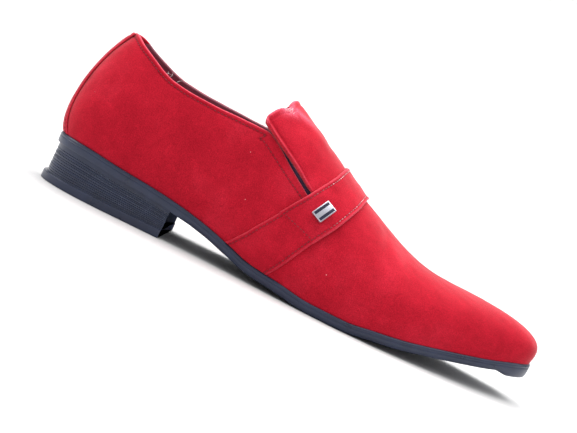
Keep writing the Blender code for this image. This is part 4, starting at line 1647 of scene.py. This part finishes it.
@dataclass
class Strap:
    """The suede strap over the instep, and its lower lengths, which reach down to the sole."""

    shop: Workshop
    throat: Throat
    thickness: float = 1.4 * MM
    base_thickness: float = 1.0 * MM
    base_inset: float = 0.012
    seam_level: float = 0.363
    foot_level: float = 0.012
    bridge: float = 0.45
    slope: float = 0.03 * LENGTH
    edge_radius: float = 0.7 * MM
    stitch_inset: float = 2.2 * MM
    seam_inset: float = 1.1 * MM
    front_lift: float = 0.5 * MM
    lift_run: float = 5 * MM
    base_sink: float = 0.24 * MM
    base_overlap: float = 0.006
    seam_margin: float = 2.6 * MM
    ripple: Ripple = Ripple(0.10 * MM, 17 * MM)
    unsewn: int = 6
    puff: Ridge = Ridge(0.12 * MM, 1.0 * MM, 0.7 * MM)
    valley: Ridge = Ridge(-0.26 * MM, 0.0, 0.7 * MM)
    # Painted shade along the stitch lines
    stitch_shade: Ridge = Ridge(0.45, 0.0, 0.4 * MM)
    # Paler edges: wear, and painted highlight, stronger where they face up
    edge_wear_and_highlight: Ridge = Ridge(0.35, 0.5 * MM, 0.6 * MM)
    rows: int = 46
    columns: int = 300
    base_columns: int = 90

    def height(self, x: Array, level: Array) -> Array:
        """Height of the strap's underside over the form: it climbs over the tongue.

        Args:
            x: Distance along the shoe of each point.
            level: Its level.

        Returns:
            The heights.
        """
        last = self.shop.last
        tongue = 1 - np.abs(1 - level) / (1 - last.tongue_edge_level(np.minimum(x, last.slit_front)))
        over = ease(1 + tongue / self.bridge) * ease(1 + (self.throat.front - x) / self.slope)
        return SEAM_GAP + over * (self.throat.tongue_thickness(x) + SEAM_GAP)

    def places(self, start: float, end: float, columns: int, inset: float) -> tuple[Array, Array]:
        """The grid between two levels.

        Args:
            start: The first level.
            end: The last level.
            columns: Steps between them.
            inset: Share of the width that is left out at each edge.

        Returns:
            Distance along the shoe and level of each point, from the rear edge to the front edge.
        """
        level = start + (end - start) * end_spaced(columns)[None, :]
        share = inset + (1 - 2 * inset) * end_spaced(self.rows)[:, None]
        rear, front = self.shop.last.strap_edges(level)
        return rear + share * (front - rear), np.broadcast_to(level, (self.rows + 1, columns + 1))

    def band(
        self, name: str, start: float, end: float, columns: int, inset: float, thickness: float, lift: float,
    ) -> list[bpy.types.Object]:
        """Builds one length of the strap with its stitches.

        Args:
            name: The piece's name.
            start: The level of one end.
            end: The level of the other end.
            columns: Steps between the ends.
            inset: Share of the width that is left out at each edge.
            thickness: Its thickness.
            lift: How far its front edge stands off.

        Returns:
            The suede and the stitches.
        """
        last = self.shop.last
        x, level = self.places(start, end, columns, inset)
        turn = last.side_turn(x)
        under = self.height(x, level)
        base = last.skin(turn, level, under)
        from_rear, from_front, from_start, from_end = distances(base)
        wave = 1 + 0.6 * np.sin(level * 9.0 + 0.6)
        raised = lift * wave * (1 - ease(from_front / self.lift_run))
        edge = np.minimum(from_rear, from_front)
        round_off = rounding(np.minimum(edge, np.minimum(from_start, from_end)), self.edge_radius)
        from_stitches = edge - self.stitch_inset
        relief = self.puff.at(edge) + self.valley.at(from_stitches)
        relief = relief + self.ripple.at(base)
        middle = under + raised + thickness / 2
        outer = last.skin(turn, level, middle + (thickness / 2 + relief) * round_off)
        inner = last.skin(turn, level, middle - (thickness / 2 + self.base_sink * (lift == 0)) * round_off)
        normals = last.normal(turn, level)
        # Paleness at the edges from wear, and painted highlight that grows where the strap faces up; painted
        # shade along the stitch lines
        wear_and_highlight = self.edge_wear_and_highlight.at(edge) * (0.4 + 0.6 * ease((normals[..., 2] - 0.2) / 0.6))
        shape = solid_between(outer, inner, False, wear_and_highlight, self.stitch_shade.at(from_stitches))
        suede = self.shop.piece(name + "_suede", shape, Suede(), name)
        rows = []
        for from_edge in (from_rear, from_front):
            line, away = self.inset_line(outer, normals, from_edge, self.stitch_inset)
            keep = slice(self.unsewn, -self.unsewn)
            # Stitches that face up get a painted highlight
            rows.append(Stitching().shape(line[keep], away[keep], lambda up: 0.8 * ease((up - 0.4) / 0.4)))
        return [suede, self.shop.sew(name + "_stitches", rows)]

    def inset_line(self, grid: Array, normals: Array, distance: Array, inset: float) -> tuple[Array, Array]:
        """The line at a distance from an edge.

        Args:
            grid: Points, rows from edge to edge.
            normals: The surface's directions.
            distance: Each point's distance from the edge.
            inset: The distance wanted.

        Returns:
            Points and directions, one for each column.
        """
        found, directions = [], []
        for j in range(grid.shape[1]):
            order = np.argsort(distance[:, j])
            found.append([np.interp(inset, distance[order, j], grid[order, j, i]) for i in range(3)])
            directions.append([np.interp(inset, distance[order, j], normals[order, j, i]) for i in range(3)])
        return np.array(found), np.array(directions)

    def cross_seam(self, side: Side) -> bpy.types.Object:
        """Builds the stitches that hold the strap's end to its lower length.

        Args:
            side: The side.

        Returns:
            The stitches.
        """
        last = self.shop.last
        run = float(last.run(last.side_turn(self.throat.front), self.seam_level))
        level = self.seam_level + self.seam_inset / run
        level = level if side is Side.OUTER else 2 - level
        rear, front = last.strap_edges(level)
        x = np.linspace(rear + self.seam_margin, front - self.seam_margin, 40)
        levels = np.full(len(x), level)
        turn = last.side_turn(x)
        above = self.height(x, levels) + self.thickness + 0.02 * MM
        name = {Side.OUTER: "strap_seam_lateral", Side.INNER: "strap_seam_medial"}[side]
        stitches = Stitching().shape(last.skin(turn, levels, above), last.normal(turn, levels))
        return self.shop.sew(name, [stitches])

    def build(self) -> list[bpy.types.Object]:
        """Builds the strap, both lower lengths and the seams across.

        Returns:
            All their pieces.
        """
        foot, seam, over = self.foot_level, self.seam_level, self.base_overlap
        made = self.band("strap", seam, 2 - seam, self.columns, 0.0, self.thickness, self.front_lift)
        for name, start, end in (
            ("strap_base_lateral", foot, seam + over), ("strap_base_medial", 2 - seam - over, 2 - foot)
        ):
            made += self.band(name, start, end, self.base_columns, self.base_inset, self.base_thickness, 0.0)
        return made + [self.cross_seam(side) for side in Side]


@dataclass
class BackPanel:
    """The suede strip up the back seam, wider at the sole than at the collar."""

    shop: Workshop
    thickness: float = 1.1 * MM
    top_width: float = 22.5 * MM
    foot_width: float = 33.0 * MM
    foot_level: float = 0.012
    top_inset: float = 0.01
    unsewn_top: int = 4
    unsewn_foot: int = 12
    ripple: Ripple = Ripple(0.10 * MM, 20 * MM)
    edge_radius: float = 0.6 * MM
    stitch_inset: float = 1.9 * MM
    puff: Ridge = Ridge(0.15 * MM, 0.9 * MM, 0.6 * MM)
    valley: Ridge = Ridge(-0.25 * MM, 0.0, 0.6 * MM)
    top_valley: Ridge = Ridge(-0.25 * MM, 2.6 * MM, 0.7 * MM)
    # Painted shade along the stitch lines
    stitch_shade: Ridge = Ridge(0.5, 0.0, 0.4 * MM)
    # Paler edges: wear, and painted highlight
    edge_wear_and_highlight: Ridge = Ridge(0.2, 0.4 * MM, 0.6 * MM)
    rows: int = 60
    columns: int = 110

    def build(self) -> list[bpy.types.Object]:
        """Builds the strip and its stitches.

        Returns:
            Both pieces.
        """
        last = self.shop.last
        top = float(last.collar_level(np.array([0.0]))[0]) - self.top_inset
        across = 2 * end_spaced(self.rows)[:, None] - 1
        share = end_spaced(self.columns)[None, :]
        level = self.foot_level + share * (top - self.foot_level)
        width = self.foot_width + share * (self.top_width - self.foot_width)
        half = np.abs(last.rib(np.ones_like(level), level)[..., 1])
        reach = np.abs(across) * width / 2 / half
        turn = np.sign(across) * 2 / math.pi * np.arcsin(reach ** (last.heel_roundness / 2))
        level = np.broadcast_to(level, turn.shape)
        base = last.skin(turn, level, SEAM_GAP)
        near, far, low, high = distances(base)
        side = np.minimum(near, far)
        edge = np.minimum(np.minimum(side, low), high)
        round_off = rounding(edge, self.edge_radius)
        from_stitches = side - self.stitch_inset
        relief = self.puff.at(side) + self.valley.at(from_stitches)
        relief = relief + self.ripple.at(base) + self.top_valley.at(high)
        middle = self.thickness / 2 + 0.1 * MM
        outer = last.skin(turn, level, middle + (self.thickness / 2 + relief) * round_off)
        inner = last.skin(turn, level, middle - self.thickness / 2 * round_off)
        # Paler edges from wear and painted highlight; painted shade along the stitch lines
        shape = solid_between(outer, inner, False, self.edge_wear_and_highlight.at(edge), self.stitch_shade.at(from_stitches))
        suede = self.shop.piece("back_panel_suede", shape, Suede(), "back_panel")
        normals = last.normal(turn, level)
        rows = []
        for row in (near, far):
            i = int(np.argmin(np.abs(row[:, self.columns // 2] - self.stitch_inset)))
            sewn = slice(self.unsewn_top, -self.unsewn_foot)
            rows.append(Stitching().shape(outer[i, sewn], normals[i, sewn]))
        return [suede, self.shop.sew("back_panel_stitches", rows)]


@dataclass
class Sole:
    """The moulded outsole, the heel block with its top piece, and the sock board inside."""

    shop: Workshop
    wall: float = 2.0 * MM
    lip: float = 1.8 * MM
    groove: float = 0.5 * MM
    groove_depth: float = 0.14 * MM
    lip_radius: float = 1.3 * MM
    edge_bevel: float = 0.6 * MM
    edge_rounding: float = 3.8 * MM
    breast: float = 0.262 * LENGTH
    breast_hollow: float = 4.0 * MM
    rounding_start: float = 10 * MM
    toe_thinning: Step = Step(0.94 * LENGTH, 0.05 * LENGTH)
    layer_fade: Step = Step(12 * MM, 30 * MM)
    sock_gap: float = 0.3 * MM
    top_piece_height: float = 4.8 * MM
    top_piece_step: float = 1.9 * MM
    layers: int = 11
    layer_zone: float = 0.86
    layer_depth: float = 0.45 * MM
    layer_unevenness: float = 0.12
    layer_gap: float = 0.05 * MM
    insole_thickness: float = 3.0 * MM
    heel_steps: int = 60
    heel_side_steps: int = 24
    breast_steps: int = 32
    side_steps: int = 200
    toe_steps: int = 80

    def loft(self, name: str, loops: list[Array], finish: Finish, node: str, wear_and_highlight: Any = 0.0) -> bpy.types.Object:
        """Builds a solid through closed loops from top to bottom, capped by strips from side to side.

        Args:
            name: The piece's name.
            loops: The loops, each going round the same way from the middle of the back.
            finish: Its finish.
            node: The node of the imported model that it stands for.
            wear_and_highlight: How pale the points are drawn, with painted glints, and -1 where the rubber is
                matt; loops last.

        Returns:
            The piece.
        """
        count = len(loops[0])
        rings = grid_faces(count, len(loops), True)
        points = np.stack(loops, 1).reshape(-1, 3)
        faces = rings.tolist()
        for column in (0, len(loops) - 1):
            for i in range(count // 2):
                corners = [i, i + 1, count - i - 1, (count - i) % count]
                corners = list(dict.fromkeys(corners))
                faces.append([corner * len(loops) + column for corner in corners])
        marks = np.broadcast_to(wear_and_highlight, (count, len(loops))).ravel()
        return self.shop.piece(name, Shape(points, faces, marks), finish, node, sharp=40)

    def sole_loop(self, outward: Callable[[Array], Array] | float, height: Callable[[Array], Array]) -> Array:
        """A closed loop round the sole.

        Args:
            outward: Its distance outside the upper's edge, or that at each station.
            height: Its height at each station.

        Returns:
            Points.
        """
        last = self.shop.last
        half = half_round(self.heel_steps, self.side_steps, self.toe_steps)
        turns = np.concatenate((half, -half[-2:0:-1]))
        x = last.station(turns)[0]
        place = last.plan(turns, outward(x) if callable(outward) else outward)
        return np.concatenate((place, height(x)[:, None]), -1)

    def heel_loop(self, outward: Array | float, height: Callable[[Array], Array]) -> Array:
        """A closed loop round the heel, with a hollow breast in front.

        Args:
            outward: Its distance outside the upper's edge.
            height: Its height at each distance along the shoe.

        Returns:
            Points.
        """
        last = self.shop.last
        last_turn = float(last.side_turn(self.breast))
        turns = np.concatenate((
            np.linspace(0, 1, self.heel_steps + 1), np.linspace(1, last_turn, self.heel_side_steps + 1)[1:]))
        place = last.plan(turns, outward)
        other = last.plan(-turns, outward)
        share = np.linspace(0, 1, self.breast_steps + 1)[1:-1, None]
        front = place[-1] + share * (other[-1] - place[-1])
        front[:, 0] -= self.breast_hollow * (1 - (2 * share[:, 0] - 1) ** 2)
        plan = np.concatenate((place, front, other[:0:-1]))
        return np.concatenate((plan, height(plan[:, 0])[:, None]), -1)

    def breast_marks(self, loop: Array) -> Array:
        """Marks the points of a heel loop that lie on its hollow front with -1, which the rubber shows matt.

        Args:
            loop: The heel loop.

        Returns:
            One row a point.
        """
        marks = np.zeros((len(loop), 1))
        first = self.heel_steps + 1 + self.heel_side_steps
        marks[first:first + self.breast_steps - 1] = -1
        return marks

    def build(self) -> list[bpy.types.Object]:
        """Builds all four pieces."""
        return [self.build_outsole(), self.build_heel(), self.build_top_piece(), self.build_sock()]

    def build_outsole(self) -> bpy.types.Object:
        """Builds the slab: a bevelled lip, a fine groove, and an edge that rounds under to the tread.

        Returns:
            The piece.
        """
        last = self.shop.last
        step, bevel, lip, groove = last.sole_step, self.lip_radius, self.lip, self.groove
        top = lip + groove
        side = last.sole_thickness - top
        profile = [(-self.wall, 0.0), (step - bevel - 0.3 * MM, 0.0)]
        profile += quarter(step, 0.0, bevel, np.linspace(0, math.pi / 2, 10), 1)
        profile += [(step, lip), (step - self.groove_depth, lip + groove / 2), (step, top)]
        profile = [(out, down, 0.0) for out, down in profile]
        for share in np.linspace(0.15, 1.0, 12):
            inward = 0.8 * self.edge_rounding * (1 - math.sqrt(max(1 - share ** 2.8, 0.0)))
            profile.append((step, top + share * side, inward))
        heel_front = self.breast + 4 * MM

        def outward(x: Array, out: float, inward: float) -> Array:
            """How far out the edge lies: it rounds under less at the heel and at the toe."""
            ahead = 0.12 + 0.88 * ease((x - heel_front) / self.rounding_start)
            return out - inward * ahead * (1 - 0.45 * self.toe_thinning.at(x))

        def height(x: Array, down: float) -> Array:
            """How high the edge lies: below its groove the toe pad takes it further down."""
            pad = ease((x - last.toe_pad_start) / (last.toe_pad_full - last.toe_pad_start))
            return last.seat(x) - down - pad * last.toe_pad_depth * max(down - top, 0.0) / side

        loops = [
            self.sole_loop(lambda x, o=out, i=inward: outward(x, o, i), lambda x, d=down: height(x, d))
            for out, down, inward in profile]
        return self.loft("outsole_rubber", loops, Rubber(), "outsole")

    def build_heel(self) -> bpy.types.Object:
        """Builds the heel block: a smooth band above and fine, slightly uneven layers below.

        Returns:
            The piece.
        """
        last = self.shop.last
        low = self.top_piece_height + self.layer_gap
        pitch = self.layer_zone / self.layers
        chance = np.random.default_rng(11)
        profile = [(0.0, 1.0), (0.0, self.layer_zone + 0.5 * pitch)]
        for i in range(self.layers):
            shift = chance.uniform(-self.layer_unevenness, self.layer_unevenness)
            top = self.layer_zone - i * pitch + shift * pitch
            out = chance.uniform(-0.10, 0.10) * MM
            profile += [
                (out, top), (-self.layer_depth, top - 0.10 * pitch), (-self.layer_depth, top - 0.25 * pitch),
                (out - 0.05 * MM, top - 0.36 * pitch), (out, top - 0.6 * pitch)]
        profile.append((0.0, 0.0))
        loops = [self.heel_loop(out, lambda x, s=share: low + s * (
            last.seat(x) - last.sole_thickness - self.layer_gap - low)) for out, share in profile]
        # Painted glints along the ridge tops of the layers, weaker at the very back
        lines = np.array([share < self.layer_zone and out > -0.2 * MM for out, share in profile])
        lines = lines * chance.uniform(0.0, 1.0, len(profile)) ** 1.5
        painted_glint = lines * (0.25 + 0.75 * self.layer_fade.at(loops[0][:, :1]))
        marks = self.breast_marks(loops[0])
        return self.loft("heel_block", loops, Rubber(), "heel_stack", np.where(marks < 0, marks, painted_glint))

    def build_top_piece(self) -> bpy.types.Object:
        """Builds the slab that the heel stands on.

        Returns:
            The piece.
        """
        step, height, turns = self.top_piece_step, self.top_piece_height, np.linspace(0, math.pi / 2, 6)
        profile = quarter(step, height, self.edge_bevel, turns, -1)
        profile.append((step, height / 2))
        profile += quarter(step, 0.0, self.edge_bevel, turns[::-1], 1)
        loops = [self.heel_loop(out, lambda x, z=z: np.full(np.shape(x), z)) for out, z in profile]
        marks = np.repeat(self.breast_marks(loops[0]), len(profile), axis=1)
        return self.loft("heel_lift", loops, Rubber(), "heel_top_piece", marks)

    def build_sock(self) -> bpy.types.Object:
        """Builds the sock board that the foot stands on.

        Returns:
            The piece.
        """
        last = self.shop.last
        inset = -(self.wall + self.sock_gap)
        rise, bevel = SEAM_GAP + self.insole_thickness, self.edge_bevel
        profile = [
            (inset - 22 * MM, rise - 0.5 * MM), (inset - 8 * MM, rise - 0.25 * MM), (inset - bevel, rise),
            (inset, rise - bevel), (inset, SEAM_GAP)]
        loops = [self.sole_loop(out, lambda x, up=up: last.seat(x) + up) for out, up in profile]
        return self.loft("sock_board", loops, Leather(), "insole")


@dataclass
class Ornament:
    """A plain satin plate on the strap with two dark blue bars let into it."""

    shop: Workshop
    strap: Strap
    length: float = 11.6 * MM
    width: float = 7.2 * MM
    thickness: float = 1.8 * MM
    bar_width: float = 1.7 * MM
    bar_inset: float = 0.62 * MM
    bar_depth: float = 0.8 * MM
    bar_rise: float = 0.06 * MM
    bar_bevel: float = 0.12 * MM
    plate_bevel: float = 0.4 * MM
    sunk: float = 0.6 * MM
    level: float = 0.505
    share: float = 0.53

    def place(self) -> Matrix:
        """The plate's frame on the strap: X up the strap, Z away from it.

        Returns:
            The frame.
        """
        last, strap = self.shop.last, self.strap
        rear, front = (float(edge) for edge in last.strap_edges(self.level))
        x = rear + self.share * (front - rear)
        above = self.level + 0.1
        higher = float(sum(last.strap_edges(above))) / 2
        spots = []
        for at, level in ((x, self.level), ((rear + front) / 2, self.level), (higher, above)):
            turn = np.array([last.side_turn(at)])
            height = strap.height(np.array([at]), np.array([level])) + strap.thickness + 3 * SEAM_GAP
            spots.append(last.skin(turn, np.array([level]), height)[0])
        turn = np.array([last.side_turn(x)])
        centre, away = Vector(spots[0] + last.shift), Vector(last.normal(turn, np.array([self.level]))[0])
        up = Vector(spots[2] - spots[1])
        up = (up - up.dot(away) * away).normalized()
        return Matrix.Translation(centre) @ Matrix((up, away.cross(up), away)).transposed().to_4x4()

    def slab(self, name: str, size: tuple, at: tuple, bevel: float, finish: Finish) -> bpy.types.Object:
        """Builds a bevelled box in the plate's frame.

        Args:
            name: The name of the node it stands for.
            size: Length, width and height.
            at: The middle of its base.
            bevel: The width of its rounded edges.
            finish: Its finish.

        Returns:
            The piece.
        """
        bm = bmesh.new()
        bmesh.ops.create_cube(bm, size=1.0)
        bmesh.ops.scale(bm, vec=size, verts=bm.verts)
        bmesh.ops.translate(bm, vec=(at[0], at[1], at[2] + size[2] / 2), verts=bm.verts)
        bmesh.ops.bevel(bm, geom=bm.edges[:], offset=bevel, segments=4, profile=0.5, affect="EDGES")
        bmesh.ops.transform(bm, matrix=self.place(), verts=bm.verts)
        points = np.array([vertex.co for vertex in bm.verts]) - self.shop.last.shift
        bm.verts.index_update()
        faces = [[vertex.index for vertex in face.verts] for face in bm.faces]
        bm.free()
        ending = "_metal" if finish.SLOT is Slot.METAL else "_fill"
        return self.shop.piece(name + ending, Shape(points, faces), finish, name, sharp=60)

    def build(self) -> list[bpy.types.Object]:
        """Builds the plate and its bars.

        Returns:
            The three pieces.
        """
        size = (self.length, self.width, self.thickness + self.sunk)
        made = [self.slab("ornament_plate", size, (0, 0, -self.sunk), self.plate_bevel, Nickel())]
        offset = self.width / 2 - self.bar_inset - self.bar_width / 2
        base = self.thickness - self.bar_depth + self.bar_rise
        bar = (self.length - 2 * self.bar_inset, self.bar_width, self.bar_depth)
        for name, side in (("ornament_bar_rear", 1), ("ornament_bar_front", -1)):
            made.append(self.slab(name, bar, (0, side * offset, base), self.bar_bevel, Enamel()))
        return made


class Strand(NamedTuple):
    """A fibre: where it is caught as a share of the length.

    The rest is in mm: how high its free end stands, how far ahead that lies, and how far it bows on the way.
    """

    along: float
    rise: float
    lean: float
    curl: float


@dataclass
class Lint:
    """Loose cotton fibres caught on the rim of the collar, on the outer side."""

    shop: Workshop
    strands: tuple[Strand, ...] = (
        Strand(0.126, 1.9, 2.0, 0.8), Strand(0.130, 0.9, 2.2, -0.6),
        Strand(0.150, 3.6, 1.4, 0.5), Strand(0.172, 2.6, 1.9, -0.4))
    radius: float = 0.055 * MM
    outward: float = 0.8 * MM
    steps: int = 28
    sides: int = 5
    foot_drop: float = 0.9 * MM

    def strand(self, strand: Strand) -> Shape:
        """Builds a fibre.

        Args:
            strand: Its place and sizes.

        Returns:
            A thin tube with tapered ends.
        """
        x, (rise, lean, curl) = strand.along * LENGTH, (size * MM for size in strand[1:])
        last = self.shop.last
        turn = last.side_turn(np.array([x]))
        last = self.shop.last
        turn = last.side_turn(np.array([x]))
        level = last.collar_level(turn)
        level = level - self.foot_drop / last.run(turn, level)
        foot = last.skin(turn, level, 0.4 * MM)[0]
        along = np.linspace(0, 1, self.steps)
        line = foot + np.stack((
            lean * along + curl * np.sin(1.5 * math.pi * along),
            self.outward * along - self.outward / 2 * np.sin(math.pi * along),
            rise * along + 0.3 * curl * np.sin(2 * math.pi * along)), 1)
        ahead = np.gradient(line, axis=0)
        ahead = ahead / np.linalg.norm(ahead, axis=1)[:, None]
        aside = np.cross(ahead, (0.0, 1.0, 0.0))
        aside = aside / np.linalg.norm(aside, axis=1)[:, None]
        third = np.cross(ahead, aside)
        radius = self.radius * np.sqrt(np.clip(4 * along * (1 - along), 0.02, 1))[None, :, None]
        angle = np.linspace(0, 2 * math.pi, self.sides, endpoint=False)[:, None, None]
        points = line + radius * (np.cos(angle) * aside + np.sin(angle) * third)
        first = np.arange(self.sides) * self.steps
        caps = [first[::-1].tolist(), (first + self.steps - 1).tolist()]
        faces = grid_faces(self.sides, self.steps, True).tolist() + caps
        return Shape(points.reshape(-1, 3), faces)

    def build(self) -> list[bpy.types.Object]:
        """Builds the fibres."""
        shape = joined([self.strand(strand) for strand in self.strands])
        return [self.shop.piece("collar_lint", shape, Cotton())]


class Lamp(NamedTuple):
    """A square soft light: its place, the place that it faces, its size in metres and its power in watts."""

    name: str
    place: tuple[float, float, float]
    target: tuple[float, float, float]
    size: float
    power: float


@dataclass(frozen=True)
class Studio:
    """A white paper sweep, soft light from above and behind, and the photo's camera."""

    camera_place: tuple[float, float, float] = (-0.0108, -0.64794, 0.08451)
    target: tuple[float, float, float] = (-0.0108, 0.0005, 0.0395)
    roll_degrees: float = 25.82
    lens: float = 71.51
    sweep_depth: float = 0.9
    sweep_radius: float = 0.5
    sweep_half_width: float = 4.0
    sweep_front: float = -3.0
    sweep_top: float = 3.0
    sky: str = "FFFFFF"
    sky_strength: float = 0.70
    lamps: tuple[Lamp, ...] = (
        Lamp("top_softbox", (0.03, 0.20, 1.1), (0, 0, 0.05), 1.5, 25.0),
        Lamp("side_softbox", (1.1, 0.0, 0.6), (0, 0, 0.05), 0.6, 1.5),
        Lamp("heel_softbox", (-1.0, 0.05, 0.6), (0, 0, 0.05), 0.5, 4.0),
        Lamp("wall_softbox", (0, 0.75, 1.7), (0, 1.4, 0.5), 1.2, 16.0),
    )

    def build(self) -> None:
        """Builds everything round the shoe."""
        self.build_camera()
        self.build_sweep()
        self.build_lights()

    @staticmethod
    def show(name: str, data: Any) -> bpy.types.Object:
        """Puts an object into the scene.

        Args:
            name: Its name.
            data: Its camera, mesh or light.

        Returns:
            The object.
        """
        made = bpy.data.objects.new(name, data)
        bpy.context.scene.collection.objects.link(made)
        return made

    def build_camera(self) -> None:
        """Places the camera, rolled as in the photo."""
        camera = self.show("camera", bpy.data.cameras.new("camera"))
        camera.data.lens = self.lens
        camera.data.clip_start = 0.01
        ahead = Vector(self.target) - Vector(self.camera_place)
        turned = ahead.to_track_quat("-Z", "Y").to_matrix().to_4x4()
        roll = Matrix.Rotation(math.radians(self.roll_degrees), 4, "Z")
        camera.matrix_world = Matrix.Translation(self.camera_place) @ turned @ roll
        bpy.context.scene.camera = camera

    def build_sweep(self) -> None:
        """Builds the paper: a floor that curves up behind the shoe."""
        depth, radius = self.sweep_depth, self.sweep_radius
        profile = [(self.sweep_front, 0.0), (depth, 0.0)]
        for angle in np.linspace(0, math.pi / 2, 16)[1:]:
            profile.append((depth + radius * math.sin(angle), radius * (1 - math.cos(angle))))
        profile.append((depth + radius, self.sweep_top))
        points = [(x, y, z) for y, z in profile for x in (-self.sweep_half_width, self.sweep_half_width)]
        mesh = bpy.data.meshes.new("paper_sweep")
        mesh.from_pydata(points, [], grid_faces(len(profile), 2).tolist())
        mesh.shade_smooth()
        mesh.materials.append(Paper().build())
        self.show("paper_sweep", mesh)

    def build_lights(self) -> None:
        """Lights the sweep evenly and the shoe softly from above and behind."""
        world = bpy.data.worlds.new("studio")
        world.use_nodes = True
        background = world.node_tree.nodes["Background"].inputs
        background["Color"].default_value = linear(self.sky)
        background["Strength"].default_value = self.sky_strength
        bpy.context.scene.world = world
        # A plain transform keeps the dye's strong red, which a film-like one would pale
        bpy.context.scene.view_settings.view_transform = "Standard"
        for lamp in self.lamps:
            light = bpy.data.lights.new(lamp.name, "AREA")
            light.size, light.energy = lamp.size, lamp.power
            holder = self.show(lamp.name, light)
            holder.location = lamp.place
            aim = Vector(lamp.target) - Vector(lamp.place)
            holder.rotation_euler = aim.to_track_quat("-Z", "Y").to_euler()


def main() -> None:
    """Builds the shoe piece by piece, then the studio round it."""
    logging.basicConfig(level=logging.INFO, format="%(name)s: %(message)s")
    shop = Workshop()
    throat = Throat(shop)
    strap = Strap(shop, throat)
    for part in (Sole(shop), Upper(shop), throat, strap, BackPanel(shop), Ornament(shop, strap), Lint(shop)):
        made = part.build()
        LOG.info("%s done: %s", type(part).__name__, ", ".join(piece.name for piece in made))
    Studio().build()


if __name__ == "__main__":
    main()
